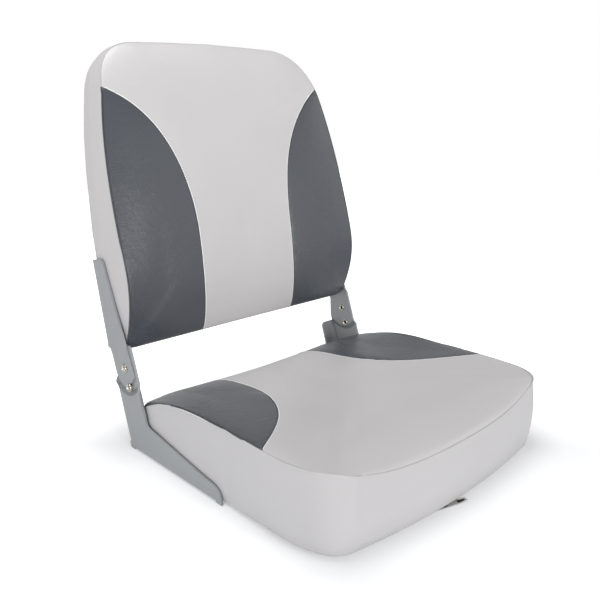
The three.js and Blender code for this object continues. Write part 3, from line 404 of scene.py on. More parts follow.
# %% [markdown]
# ## Where the cushions' seams run
# A boat cushion is foam on a board with a sewn cover: a crown of three panels, and a band
# that runs round the sides and is stapled under the board. The crown's outline, the height of
# its seam and the curve of its charcoal panels were measured on the photograph. Each cushion
# is drawn flat, in millimetres, with its height towards the sitter, and turned up at the end.

# %% Curves of an outline
def steps(count):
    """Shares of a curve from 0 up to its last point but one, which starts the next curve."""
    return np.linspace(0, 1, count + 1)[:-1]


def line(start, end, count):
    return [np.array(start) * (1 - t) + np.array(end) * t for t in steps(count)]


def bow(start, pull, end, count):
    """A curve with one control point."""
    start, pull, end = map(np.array, (start, pull, end))
    return [start * (1 - t) ** 2 + pull * 2 * t * (1 - t) + end * t * t for t in steps(count)]


def swoop(a, b, c, d, count):
    """A curve from a to d with two control points."""
    a, b, c, d = map(np.array, (a, b, c, d))
    return [a * (1 - t) ** 3 + b * 3 * t * (1 - t) ** 2 + c * 3 * t * t * (1 - t) + d * t ** 3
            for t in steps(count)]


def other(point):
    """The same point on the cushion's other side."""
    return (-point[0], point[1])


def ease(value):
    held = np.clip(value, 0, 1)
    return held * held * (3 - 2 * held)


print("halfway eases to", float(ease(0.5)))

# %% The seat's measures
SEAT_HALF = 214.5
SEAT_REAR_HALF = 208.5
SEAT_FRONT = 190
SEAT_REAR = 192
SEAT_BOW = (0, -203)
SEAT_CORNER = (165, -177)
SEAT_CORNER_PULL = (214, -176)
SEAT_WIDEST = (SEAT_HALF, -90)
SEAT_REAR_SIDE = (SEAT_REAR_HALF, 162)
SEAT_REAR_PULL = (SEAT_REAR_HALF, SEAT_REAR)
SEAT_REAR_END = (178.5, SEAT_REAR)
SEAT_PANEL_HALF = 88
SEAT_PANEL_SIDE = (SEAT_HALF, -77)
SEAT_FLARE_FROM = -10
SEAT_FLARE_RUN = 80

print("the seat is", 2 * SEAT_HALF, "mm wide along its seam")

# %% The seat's outline, seam and face
class Seat:
    name = "seat"
    body = SEAT_BODY
    middle = 0.0
    edge = 1.2
    plate_limit = 211.4
    plates_end = -8.0
    plates_side = 1
    outline = np.array(
        bow(other(SEAT_CORNER), SEAT_BOW, SEAT_CORNER, 60)
        + bow(SEAT_CORNER, SEAT_CORNER_PULL, SEAT_WIDEST, 50)
        + line(SEAT_WIDEST, SEAT_REAR_SIDE, 60)
        + bow(SEAT_REAR_SIDE, SEAT_REAR_PULL, SEAT_REAR_END, 24)
        + line(SEAT_REAR_END, other(SEAT_REAR_END), 60)
        + bow(other(SEAT_REAR_END), other(SEAT_REAR_PULL), other(SEAT_REAR_SIDE), 24)
        + line(other(SEAT_REAR_SIDE), other(SEAT_WIDEST), 60)
        + bow(other(SEAT_WIDEST), other(SEAT_CORNER_PULL), other(SEAT_CORNER), 50)
    )
    panel = np.array(line((SEAT_PANEL_HALF, 240), (SEAT_PANEL_HALF, 105), 20)
                     + bow((SEAT_PANEL_HALF, 105), (SEAT_PANEL_HALF, -4.2), SEAT_PANEL_SIDE, 80)
                     + line(SEAT_PANEL_SIDE, (250, -77), 4))

    @staticmethod
    def seam(x, y):
        rear = np.maximum(y - 15, 0) / (SEAT_REAR - 15)
        across = np.minimum(np.abs(x) / 190, 1)
        front = np.where(y < -90, 1 - across ** 3.5, 0)
        return 101 - 45 * rear ** 2.6 - 20 * front

    @staticmethod
    def face(x, y):
        side = np.maximum(np.abs(x) - 60, 0) / (SEAT_HALF - 60)
        fade = 1 - 0.6 * ease((-y - 45) / 90)
        dish = 2 * (1 - ease(np.abs(x) / 60))
        return 92 - 0.07 * y + 11 * side ** 1.4 * fade - dish

    @staticmethod
    def roll(y):
        front = np.clip(-y / SEAT_FRONT, 0, 1)
        rear = np.clip(y / SEAT_REAR, 0, 1)
        return 23 * (1 - np.sqrt(1 - front ** 3.8)) + 22.5 * (1 - np.sqrt(1 - rear ** 6))

    @staticmethod
    def bulge(x, y):
        return 1 + 4.5 * ease((SEAT_FLARE_FROM - y) / SEAT_FLARE_RUN)

    @staticmethod
    def tuck(x, y):
        flare = ease((SEAT_FLARE_FROM - y) / SEAT_FLARE_RUN)
        return 2 + 3 * ease(np.abs(x / SEAT_HALF) ** 8) * flare


print("the seat's seam is", len(Seat.outline), "points long")

# %% The backrest's measures
BACK_WAIST = 209
BACK_FOOT = 25
BACK_TOP = 435
BACK_SHOULDER = 357
BACK_HIP = 128
BACK_NECK = (193, BACK_SHOULDER)
BACK_NECK_PULL = (181, 432)
BACK_CREST = (118, 432)
BACK_CREST_PULL = (0, 438)
BACK_FOOT_END = (196, BACK_FOOT)
BACK_FOOT_PULL = (BACK_WAIST, BACK_FOOT)
BACK_FOOT_SIDE = (BACK_WAIST, 42)
BACK_LOW_PULL = (211.5, 120)
BACK_HIGH_PULL = (218, 250)
BACK_PANEL_HALF = 86
BACK_PANEL_LOW = (BACK_PANEL_HALF, 160)
BACK_PANEL_SIDE = (194, 368)
BACK_FULL_FROM = 150
BACK_FULL_RUN = 120

print("the backrest is", BACK_TOP - BACK_FOOT, "mm tall")

# %% The backrest's outline, seam and face
class Back:
    name = "back"
    body = BACK_BODY
    middle = 230.0
    edge = -33.7
    plate_limit = 211.4
    plates_end = 152.0
    plates_side = -1
    outline = np.array(
        line(other(BACK_FOOT_END), BACK_FOOT_END, 70)
        + bow(BACK_FOOT_END, BACK_FOOT_PULL, BACK_FOOT_SIDE, 16)
        + swoop(BACK_FOOT_SIDE, BACK_LOW_PULL, BACK_HIGH_PULL, BACK_NECK, 90)
        + bow(BACK_NECK, BACK_NECK_PULL, BACK_CREST, 50)
        + bow(BACK_CREST, BACK_CREST_PULL, other(BACK_CREST), 50)
        + bow(other(BACK_CREST), other(BACK_NECK_PULL), other(BACK_NECK), 50)
        + swoop(other(BACK_NECK), other(BACK_HIGH_PULL), other(BACK_LOW_PULL),
                other(BACK_FOOT_SIDE), 90)
        + bow(other(BACK_FOOT_SIDE), other(BACK_FOOT_PULL), other(BACK_FOOT_END), 16)
    )
    panel = np.array(line((250, 368), BACK_PANEL_SIDE, 4)
                     + bow(BACK_PANEL_SIDE, (BACK_PANEL_HALF, 313.92), BACK_PANEL_LOW, 90)
                     + line(BACK_PANEL_LOW, (BACK_PANEL_HALF, -20), 20))

    @staticmethod
    def top_share(y):
        return np.maximum(y - BACK_SHOULDER, 0) / (BACK_TOP - BACK_SHOULDER)

    @staticmethod
    def foot_share(y):
        return np.maximum(BACK_HIP - y, 0) / (BACK_HIP - BACK_FOOT)

    @classmethod
    def seam(cls, x, y):
        slope = 44.5 - 0.068 * np.maximum(y - 140, 0)
        return slope - 19 * cls.top_share(y) ** 1.2 - 44 * cls.foot_share(y) ** 2

    @staticmethod
    def face(x, y):
        side = (np.abs(x) / 211.5) ** 3
        return 39 + 9 * side * (1 - ease((y - 140) / 160))

    @classmethod
    def roll(cls, y):
        foot = np.clip((cls.middle - y) / (cls.middle - BACK_FOOT), 0, 1)
        top = np.clip((y - cls.middle) / (BACK_TOP - cls.middle), 0, 1)
        return 38.5 * (1 - np.sqrt(1 - foot ** 2.2)) + 33.5 * (1 - np.sqrt(1 - top ** 4.5))

    @staticmethod
    def bulge(x, y):
        return 0.3 + 3.2 * ease((y - BACK_FULL_FROM) / BACK_FULL_RUN)

    @staticmethod
    def tuck(x, y):
        return 0.5 + 3.5 * ease((y - BACK_FULL_FROM) / BACK_FULL_RUN)


print("the backrest's seam is", len(Back.outline), "points long")

# %% [markdown]
# ## The measured cushion
# The cushion is drawn as rings round its outline: over the crown, over the seam, down the band
# and in under the board. The rings lie close together near the seam, because the stitching
# needs rows of vertices there. Each ring keeps its distance from the seam along the surface.

# %% Rings over the crown
CROWN_RINGS = 24
SEAT_ROUNDNESS = 7
BACK_ROUND_REACH = 60
ABOVE_SEAM = (14, 10, 7, 4.8, 3.4, 2.4, 1.6, 0.9, 0.4, 0.12, 0)


def edge_frame(form):
    """The outline's points and the directions that point out of it."""
    ahead = np.roll(form.outline, -1, axis=0) - np.roll(form.outline, 1, axis=0)
    ahead /= np.linalg.norm(ahead, axis=1)[:, None]
    return form.outline[:, 0], form.outline[:, 1], ahead[:, 1], -ahead[:, 0]


def crown_rings(form):
    x, y, out_x, out_y = edge_frame(form)
    seam = form.seam(x, y)
    reach = out_x * x + out_y * (y - form.middle)
    shares = [np.full_like(x, share) for share in np.linspace(0.04, 0.9, CROWN_RINGS)]
    shares += [1 - inset / reach for inset in ABOVE_SEAM]
    rings = []
    rest = form.face(x, y) - form.roll(y) - seam
    for share in shares:
        px, py = x * share, form.middle + (y - form.middle) * share
        turned = 1 - np.sqrt(np.maximum(1 - share ** SEAT_ROUNDNESS, 0))
        if form is Back:
            turned = np.clip(1 - reach * (1 - share) / BACK_ROUND_REACH, 0, 1) ** 2
        rings.append(np.stack([px, py, form.face(px, py) - form.roll(py) - rest * turned], axis=1))
    return rings


print("rings over the crown:", len(crown_rings(Seat)))

# %% Rings down the band
BELOW_SEAM = (0.5, 1.1, 1.8, 2.6, 3.6, 5.0, 7.0, 10.0)
BAND_RINGS = 9
EDGE_ROUND = 6.0
EDGE_TURNS = 5
HEM = 9.0


def band_rings(form):
    x, y, out_x, out_y = edge_frame(form)
    seam = form.seam(x, y)
    foot = form.edge + EDGE_ROUND
    tall = seam - foot
    drops = [np.full_like(x, drop) for drop in BELOW_SEAM]
    drops += [BELOW_SEAM[-1] + (tall - BELOW_SEAM[-1]) * share
              for share in np.linspace(0, 1, BAND_RINGS + 1)[1:]]
    rings = []
    for drop in drops:
        rings.append(band_ring(form, drop, 0))
    for turn in np.linspace(0, math.pi / 2, EDGE_TURNS + 1)[1:]:
        rings.append(band_ring(form, tall + EDGE_ROUND * math.sin(turn), 1 - math.cos(turn)))
    rings.append(band_ring(form, seam - form.edge, 1 + HEM / EDGE_ROUND))
    return rings


def band_ring(form, drop, turned_in):
    """The ring that lies so far below the seam, turned in by a share of the edge's rounding."""
    x, y, out_x, out_y = edge_frame(form)
    seam = form.seam(x, y)
    fall = drop / (seam - form.edge)
    inset = form.tuck(x, y) * fall - form.bulge(x, y) * np.sin(math.pi * fall)
    inset = inset + EDGE_ROUND * turned_in
    return np.stack([x - out_x * inset, y - out_y * inset, seam - drop], axis=1)


print("rings down the band:", len(band_rings(Seat)))

# %% Work on one piece at a time
def only(obj):
    """Selects one object, and makes it the one that operators work on."""
    bpy.ops.object.select_all(action="DESELECT")
    obj.select_set(True)
    bpy.context.view_layer.objects.active = obj


def face_outwards(obj):
    """Turns the faces of a closed piece outwards."""
    only(obj)
    bpy.ops.object.mode_set(mode="EDIT")
    bpy.ops.mesh.select_all(action="SELECT")
    bpy.ops.mesh.normals_make_consistent(inside=False)
    bpy.ops.object.mode_set(mode="OBJECT")


def weigh(obj, name, weights):
    """Gives each vertex its weight in a new vertex group."""
    group = obj.vertex_groups.new(name=name)
    for index, weight in enumerate(weights):
        group.add([index], float(weight), "REPLACE")


def apply_modifier(obj, kind, **settings):
    modifier = obj.modifiers.new(kind.lower(), kind)
    for name, value in settings.items():
        setattr(modifier, name, value)
    only(obj)
    bpy.ops.object.modifier_apply(modifier=modifier.name)


def points_of(mesh, what="co"):
    """One row for each vertex: its place, or its normal."""
    flat = np.empty(len(mesh.vertices) * 3)
    mesh.vertices.foreach_get(what, flat)
    return flat.reshape(-1, 3)


# %% How far from a path, and how far along it
BATCH = 4000


def along_path(path, points, closed):
    """Distance to a path, positive on its left, and how far along it the nearest point lies.

    The points are taken a batch at a time, so that the tables stay small."""
    ends = np.roll(path, -1, axis=0) if closed else path[1:]
    starts = path if closed else path[:-1]
    run = ends - starts
    length = np.linalg.norm(run, axis=1)
    before = np.concatenate([[0], np.cumsum(length)[:-1]])
    distance = np.empty(len(points))
    station = np.empty(len(points))
    for first in range(0, len(points), BATCH):
        some = points[first:first + BATCH]
        offset = some[:, None, :] - starts[None]
        share = np.clip((offset * run).sum(2) / (length ** 2), 0, 1)
        gap = offset - share[..., None] * run[None]
        away = np.linalg.norm(gap, axis=2)
        best = away.argmin(1)
        rows = np.arange(len(some))
        near = offset[rows, best]
        side = run[best, 0] * near[:, 1] - run[best, 1] * near[:, 0]
        distance[first:first + BATCH] = away[rows, best] * np.where(side >= 0, 1, -1)
        station[first:first + BATCH] = before[best] + share[rows, best] * length[best]
    return distance, station


def inside_dark(form, points):
    """How far each point lies inside a charcoal panel, and its place along the panel's edge."""
    folded = np.stack([np.abs(points[:, 0]), points[:, 1]], axis=1)
    return along_path(form.panel, folded, False)


middle_gap, _ = inside_dark(Seat, np.zeros((1, 3)))
print("from the seat's middle to a charcoal panel:", round(-middle_gap[0], 1), "mm")

# %% A closed body of rings
UNDERSIDE_SHARES = (0.85, 0.6, 0.3, 0.05)
EASE_FROM = 6
EASE_RUN = 16
EASE_TURNS = 36


def closed_body(form):
    """The body, with each vertex's distance from the seam: above it, or below it as a minus."""
    crown, band = crown_rings(form), band_rings(form)
    hem = band[-1]
    centre = np.array([0, form.middle, form.edge])
    under = [centre + (hem - centre) * share for share in UNDERSIDE_SHARES]
    rings = crown + band + under
    seam_row = len(crown) - 1
    count = len(form.outline)
    above = np.zeros((len(rings), count))
    for row in range(seam_row - 1, -1, -1):
        above[row] = above[row + 1] + np.linalg.norm(rings[row] - rings[row + 1], axis=1)
    for row in range(seam_row + 1, len(rings)):
        above[row] = above[row - 1] - np.linalg.norm(rings[row] - rings[row - 1], axis=1)
    faces = []
    for row in range(len(rings) - 1):
        for step in range(count):
            after = (step + 1) % count
            faces.append((row * count + step, (row + 1) * count + step,
                          (row + 1) * count + after, row * count + after))
    top = len(rings) * count
    last = top - count
    for step in range(count):
        after = (step + 1) % count
        faces.append((top, step, after))
        faces.append((top + 1, last + after, last + step))
    crest = (0, form.middle, float(form.face(0.0, form.middle)))
    points = np.concatenate(rings + [[crest], [centre]])
    above = np.concatenate([above.ravel(), [above[0].max() + 10, above[-1].min() - 10]])
    hidden = np.zeros(len(points))
    hidden[(len(crown) + len(band)) * count:] = 1
    hidden[top] = 0
    mesh = bpy.data.meshes.new(form.name + "_body")
    mesh.from_pydata((points * MM).tolist(), [], faces)
    body = placed(form.name + "_body", mesh)
    face_outwards(body)
    return body, above, hidden


def ease_crown(body, above):
    """Smooths the crown away from its seam, where the sides' rolls meet in the corners."""
    weigh(body, "crown", ease((above - EASE_FROM) / EASE_RUN))
    apply_modifier(body, "SMOOTH", factor=0.5, iterations=EASE_TURNS, vertex_group="crown")


cushions = {}
for form in (Seat, Back):
    body, above, hidden = closed_body(form)
    ease_crown(body, above)
    dark, _ = inside_dark(form, points_of(body.data) / MM)
    cushions[form.name] = {"body": body, "above": above, "hidden": hidden, "dark": dark}
    print(form.name, "has", len(body.data.polygons), "faces")

# %% [markdown]
# ## The blown-up cover
# Foam presses a sewn cover outwards, and the seams hold it. A copy of the cushion is remeshed
# into even squares and blown up as cloth, with its seams held. The measured cushion then takes
# over how the cloth moved. The swelling that every place at the same distance from a seam
# shares is mostly taken off, because the photograph's outline already holds it. What stays is
# the fullness between the seams and the pull at the corners.

# %% How firmly the seams hold the cloth
FAR_FROM_DARK = 99
HOLD_REACH = 6.0


def seam_hold(form, points, above, dark):
    """1 at a seam and under the board, falling to 0 away from them, and the distance itself."""
    crown = above > 0
    away = np.minimum(np.abs(above), np.where(crown, np.abs(dark), FAR_FROM_DARK))
    hold = np.exp(-(away / HOLD_REACH) ** 2)
    return np.where(points[:, 2] < form.edge + EDGE_ROUND, 1.0, hold), away


def run_lengths(row):
    """How far along a row of points each of them lies."""
    return np.concatenate([[0], np.cumsum(np.linalg.norm(np.diff(row, axis=0), axis=1))])


def nearest_above(form, points):
    """The distance from the seam of points that lie on no ring."""
    inside, station = along_path(form.outline, points[:, :2], True)
    closed = np.concatenate([form.outline, form.outline[:1]])
    marks = run_lengths(closed)
    seam = form.seam(*(np.interp(station, marks, closed[:, axis]) for axis in range(2)))
    rise = points[:, 2] - seam
    return np.where(rise > 0, np.hypot(rise, inside), rise)


print("a seam's hold reaches about", HOLD_REACH, "mm")

# %% Blow the sheet up as cloth, and read off its moves
CLOTH = {
    "quality": 5, "mass": 0.3, "tension_stiffness": 20, "compression_stiffness": 20,
    "shear_stiffness": 10, "bending_stiffness": 2, "use_pressure": True,
    "uniform_pressure_force": 4, "vertex_group_mass": "held", "pin_stiffness": 2,
}
CLOTH_FRAMES = 20
MOST_MOVE = 6.0


def cloth_moves(sheet, hold):
    """Where the sheet's vertices start, and how far each is blown, in millimetres."""
    weigh(sheet, "held", hold)
    cloth = sheet.modifiers.new("cover", "CLOTH")
    for name, value in CLOTH.items():
        setattr(cloth.settings, name, value)
    cloth.settings.effector_weights.gravity = 0
    before = points_of(sheet.data)
    for frame_number in range(1, CLOTH_FRAMES + 1):
        bpy.context.scene.frame_set(frame_number)
    only(sheet)
    bpy.ops.object.modifier_apply(modifier=cloth.name)
    bpy.context.scene.frame_set(1)
    moves = (points_of(sheet.data) - before) / MM
    length = np.linalg.norm(moves, axis=1)
    return before, moves * np.minimum(1, MOST_MOVE / np.maximum(length, 1e-9))[:, None]


def carried_over(sheet, before, moves, places):
    """The move at each place, read off the nearest face of the sheet."""
    faces = [tuple(face.vertices) for face in sheet.data.polygons]
    tree = BVHTree.FromPolygons(before.tolist(), faces)
    taken = np.zeros((len(places), 3))
    for index, place in enumerate(places):
        near, _, face, _ = tree.find_nearest(Vector(place))
        corners = faces[face]
        weights = poly_3d_calc([Vector(before[corner]) for corner in corners], near)
        taken[index] = sum(moves[corner] * weight for corner, weight in zip(corners, weights))
    return taken


print("the cloth is blown up for", CLOTH_FRAMES, "frames")

# %% Move the cushions as the cloth moved
SHEET_SQUARE = 0.005
SWELLING_KEPT = 0.12
BAND_COUNT = 14
BAND_HALF = 6


def blow_up(form, cushion):
    """Moves the cushion's vertices as its blown-up copy moved, without the even swelling."""
    body = cushion["body"]
    sheet = placed(form.name + "_sheet", body.data.copy())
    apply_modifier(sheet, "REMESH", mode="VOXEL", voxel_size=SHEET_SQUARE)
    spots = points_of(sheet.data) / MM
    hold, _ = seam_hold(form, spots, nearest_above(form, spots), inside_dark(form, spots)[0])
    before, moves = cloth_moves(sheet, hold)
    places, normals = points_of(body.data), points_of(body.data, "normal")
    taken = carried_over(sheet, before, moves, places)
    bpy.data.objects.remove(sheet)
    hold, away = seam_hold(form, places / MM, cushion["above"], cushion["dark"])
    taken *= (1 - hold)[:, None]
    outward = (taken * normals).sum(1)
    for part in (cushion["above"] > 0, cushion["above"] <= 0):
        marks = np.quantile(away[part], np.linspace(0, 1, BAND_COUNT))
        usual = [outward[part & (np.abs(away - mark) < BAND_HALF)].mean() for mark in marks]
        shared = np.interp(away, marks, usual) * (1 - SWELLING_KEPT)
        taken[part] -= (normals * shared[:, None])[part]
    body.data.vertices.foreach_set("co", (places + taken * MM).ravel())
    body.data.update()
    print(form.name, "cover swelled by", round(float(outward.max()), 2), "mm at most, and keeps",
          round(float(np.abs(taken).max()), 2), "mm of it at most")


for form in (Seat, Back):
    blow_up(form, cushions[form.name])
print("cloth done")

# %% [markdown]
# ## Seams
# Where two panels are sewn together the cover is drawn down into a fine groove, and the paler
# panel stands up beside it in a narrow lip. The charcoal panel's curved edge crosses the rings,
# so its faces are first cut at set distances from the seam. Then all rows are drawn down.

# %% Cut the crown where the panel distance is a level
SNAP_REACH = 0.12 * MM


def crossing_share(link, layer, level):
    """How far along an edge the level is crossed, or None where it isn't."""
    one, two = (corner[layer] for corner in link.verts)
    return (level - one) / (two - one) if (one - level) * (two - level) < 0 else None


def cut_row(grid, layers, level):
    """Splits the crown's faces where the panel distance is the level.

    Vertices that lie very near the row are moved on to it first, so that no sliver is made."""
    edge_layer, layer, _ = layers
    crossing = [link for link in grid.edges
                if crossing_share(link, layer, level) is not None
                and min(corner[edge_layer] for corner in link.verts) >= 0]
    taken = set()
    for link in crossing:
        share = crossing_share(link, layer, level)
        if share is None:
            continue
        one, two = link.verts
        along_seam = one[edge_layer] == 0 and two[edge_layer] == 0
        for near, far, part in ((one, two, share), (two, one, 1 - share)):
            free = near[edge_layer] > 0 or along_seam
            if part * link.calc_length() < SNAP_REACH and free and near not in taken:
                near.co = near.co.lerp(far.co, part)
                for item in layers:
                    near[item] += (far[item] - near[item]) * part
                near[layer] = level
                taken.add(near)
                break
    for link in crossing:
        share = crossing_share(link, layer, level)
        if share is None:
            continue
        one, two = link.verts
        values = [one[item] + (two[item] - one[item]) * share for item in layers]
        _, fresh = bmesh.utils.edge_split(link, one, share)
        for item, value in zip(layers, values):
            fresh[item] = value
        fresh[layer] = level
        taken.add(fresh)
    for face in {face for corner in taken for face in corner.link_faces}:
        marks = [place for place, corner in enumerate(face.verts)
                 if corner[layer] == level and corner[edge_layer] >= 0]
        if len(marks) == 2 and 1 < marks[1] - marks[0] < len(face.verts) - 1:
            bmesh.utils.face_split(face, face.verts[marks[0]], face.verts[marks[1]])


print("a vertex within", round(SNAP_REACH / MM, 2), "mm is moved on to the row")

# %% Cut rows of vertices along the charcoal panels
LAYERS = ("above", "dark", "hidden")
PANEL_ROWS = (-3.5, -2.5, -1.5, -0.75, 0.0, 0.5, 1.25, 2.0)

for form in (Seat, Back):
    cushion = cushions[form.name]
    grid = bmesh.new()
    grid.from_mesh(cushion["body"].data)
    layers = tuple(grid.verts.layers.float.new(name) for name in LAYERS)
    for corner, *values in zip(grid.verts, *(cushion[name] for name in LAYERS)):
        for layer, value in zip(layers, values):
            corner[layer] = float(value)
    for row in PANEL_ROWS:
        cut_row(grid, layers, row)
    grid.normal_update()
    cushion["grid"] = grid
    cushion["layers"] = layers
    bpy.data.objects.remove(cushion["body"])
    print(form.name, "has", len(grid.faces), "faces after its panels are marked")

# %% The groove, the skin's slow rolls and the long folds
GROOVE_PLACE = 0.3
LIP_PLACE = 1.5
LIP_WIDTH = 0.9
SOFT_ROLL = 0.45
SOFT_ROLL_SIZE = 70.0
FINE_ROLL = 0.10
FINE_ROLL_SIZE = 22.0
ROLL_SHIFT = {"seat": Vector((0, 0, 0)), "back": Vector((3.1, 7.7, 1.3))}
FOLD_SHIFT = Vector((5.3, 1.7, 9.1))
FOLD_LENGTH = 110.0
FOLD_WIDTH = 15.0
FOLD_HEIGHT = {"seat": 0.45, "back": 1.1}


def seam_draw(distance, depth, width, lip):
    """How far a seam moves the cover in or out. The lip stands where the distance is negative."""
    dip = -depth * np.exp(-((distance - GROOVE_PLACE) / width) ** 2)
    return dip + lip * np.exp(-((distance + LIP_PLACE) / LIP_WIDTH) ** 2)


def rolls(form, points):
    """A slow rise and fall of the skin, as foam under vinyl has."""
    shift = ROLL_SHIFT[form.name] * 50
    made = np.empty(len(points))
    for index, point in enumerate(points):
        place = Vector(point) + shift
        made[index] = SOFT_ROLL * noise.noise(place / SOFT_ROLL_SIZE)
        made[index] += FINE_ROLL * noise.noise(place / FINE_ROLL_SIZE)
    return made


def folds(form, points, high):
    """Long shallow folds that run along the band, as the cover pulls round the corners."""
    made = np.zeros(len(points))
    for index in np.flatnonzero(high < 0):
        x, y, z = points[index]
        place = Vector(((x + y) / FOLD_LENGTH, (x - y) / FOLD_LENGTH, z / FOLD_WIDTH))
        made[index] = FOLD_HEIGHT[form.name] * noise.noise(place + FOLD_SHIFT)
    return made


print("the skin rolls by up to", SOFT_ROLL, "mm, and folds by", FOLD_HEIGHT)

# %% Draw the seams down, and let the skin roll a little
GROOVE_DEPTH = 0.6
GROOVE_WIDTH = 0.75
LIP_HEIGHT = 0.15
DARK_DEEPER = 0.4
DARK_HIGHER = 0.3
PANEL_GROOVE = (0.9, 0.7, 0.4)  # depth, width and lip along the charcoal panels
PUFF = {"seat": 1.0, "back": 3.4}
PUFF_REACH = 60.0
PLATE_CLEAR = 14.0
PLATE_RUN = 70.0
PLATE_SOFT = 1.5


def beside_plates(form, points):
    """Keeps the cushion's sides off the hinge plates that stand beside it."""
    past = (form.plates_end - points[:, 1]) * form.plates_side
    limit = form.plate_limit + PLATE_CLEAR * ease(past / PLATE_RUN)
    wide = np.abs(points[:, 0])
    start = limit - PLATE_SOFT
    over = np.maximum(wide - start, 0)
    held = np.where(over > 0, start + PLATE_SOFT * (1 - np.exp(-over / PLATE_SOFT)), wide)
    points[:, 0] = np.sign(points[:, 0]) * held
    return points


for form in (Seat, Back):
    grid, layers = cushions[form.name]["grid"], cushions[form.name]["layers"]
    corners = list(grid.verts)
    places = np.array([corner.co[:] for corner in corners]) / MM
    normals = np.array([corner.normal[:] for corner in corners])
    high = np.array([corner[layers[0]] for corner in corners])
    deep = np.array([corner[layers[1]] for corner in corners])
    hold, _ = seam_hold(form, places, high, deep)
    on_crown = ease((high + 0.2) / 1.2)
    by_dark = ease((deep + 3) / 4)
    drawn = seam_draw(high, GROOVE_DEPTH + DARK_DEEPER * by_dark, GROOVE_WIDTH,
                      LIP_HEIGHT + DARK_HIGHER * by_dark)
    drawn = drawn + on_crown * seam_draw(deep, *PANEL_GROOVE)
    drawn = drawn + (rolls(form, places) + folds(form, places, high)) * (1 - hold)
    inward = [np.sin(np.clip(away / PUFF_REACH, 0, 1) * math.pi / 2) for away in (high, deep)]
    drawn = drawn + PUFF[form.name] * inward[0] * inward[1]
    moved = beside_plates(form, places + normals * drawn[:, None])
    for corner, place in zip(corners, moved):
        corner.co = place * MM
    grid.normal_update()
    print(form.name, "skin moved between", round(float(drawn.min()), 2), "and",
          round(float(drawn.max()), 2), "mm")

# %% [markdown]
# ## Panels
# The body is now parted into the panels of the real cover: the light middle, the two charcoal
# panels and the light band. Each gets the thickness of its vinyl, inwards, and stands for the
# CAD skin of the same name. Together they hide the foam, so they stand for it too.

# %% Part the panels and stand the backrest up
RECLINE = math.radians(12.45)
PIVOT_BACK = 205
PIVOT_HIGH = 115
VINYL = 1.3 * MM
PANELS = {
    "seat": {"middle": "seat_cover_middle", "left": "seat_cover_corner_left",
             "right": "seat_cover_corner_right", "band": "seat_cover_band"},
    "back": {"middle": "back_cover_middle", "left": "back_cover_side_left",
             "right": "back_cover_side_right", "band": "back_cover_band"},
}


def upright(form):
    """Turns the backrest up from its drawing to its place on the hinge. The seat lies flat."""
    if form is Seat:
        return Matrix.Identity(4)
    standing = Matrix.Rotation(math.radians(90), 4, "X")
    pivot = Vector((0, PIVOT_BACK * MM, PIVOT_HIGH * MM))
    return Matrix.Translation(pivot) @ Matrix.Rotation(-RECLINE, 4, "X") @ standing


def panel_of(face, layers):
    high, deep, hidden = (sum(corner[layer] for corner in face.verts) for layer in layers)
    if hidden > 0:
        return "none"
    if high < 0:
        return "band"
    if deep < 0:
        return "middle"
    return "left" if face.calc_center_median().x > 0 else "right"


def part_off(form, part):
    piece = cushions[form.name]["grid"].copy()
    own = tuple(piece.verts.layers.float[name] for name in LAYERS)
    others = [face for face in piece.faces if panel_of(face, own) != part]
    bmesh.ops.delete(piece, geom=others, context="FACES")
    piece.transform(upright(form))
    mesh = bpy.data.meshes.new(f"{form.name}_{part}")
    piece.to_mesh(mesh)
    piece.free()
    obj = placed(f"{form.name}_cover_{part}_sewn", mesh)
    apply_modifier(obj, "SOLIDIFY", thickness=VINYL, offset=-1.0)
    only(obj)
    bpy.ops.object.shade_smooth()
    return obj


for form in (Seat, Back):
    for part, node in PANELS[form.name].items():
        obj = part_off(form, part)
        dark_part = part in ("left", "right")
        obj.data.materials.append(DARK if dark_part else LIGHT)
        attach(obj, form.body)
        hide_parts(*([node, form.name + "_foam"] if part == "middle" else [node]))
        print(obj.name, len(obj.data.polygons), "faces")

# %% [markdown]
# ## Stitches
# The seams are lock-stitched: short threads, one after another, lie in the groove. One stitch
# is modelled and copied along each seam, at the machine's stitch length. Along the charcoal
# panels the thread is dark, and elsewhere it is pale. The light vinyl's cut edge is turned
# over beside the charcoal and is made as a thin roll, coloured near white as a painted highlight.

# %% One stitch
STITCH_LENGTH = 2.6
STITCH_RADIUS = 0.42
STITCH_SIDES = 6
STITCH_RINGS = ((-0.5, 0.4, -0.3), (-0.25, 1.0, 0.0), (0.25, 1.0, 0.0), (0.5, 0.4, -0.3))


def stitch_shape():
    """Points and faces of one thread along +X, thinner at its ends, with its top towards +Z."""
    points, faces = [], []
    for along, share, sink in STITCH_RINGS:
        for step in range(STITCH_SIDES):
            turn = math.tau * step / STITCH_SIDES
            points.append((along * STITCH_LENGTH, math.cos(turn) * STITCH_RADIUS * share,
                           math.sin(turn) * STITCH_RADIUS * share + sink))
    for row in range(len(STITCH_RINGS) - 1):
        this, following = row * STITCH_SIDES, (row + 1) * STITCH_SIDES
        for step in range(STITCH_SIDES):
            after = (step + 1) % STITCH_SIDES
            faces.append((this + step, following + step, following + after, this + after))
    last = len(points) - 1
    faces.append(tuple(range(STITCH_SIDES)))
    faces.append(tuple(range(last, last - STITCH_SIDES, -1)))
    return np.array(points), faces


print("one stitch has", len(stitch_shape()[1]), "faces")

# %% Even places along a seam
STITCH_STEP = 3.7
LOOK_AHEAD = 1.5
SHORTEST_RUN = 4


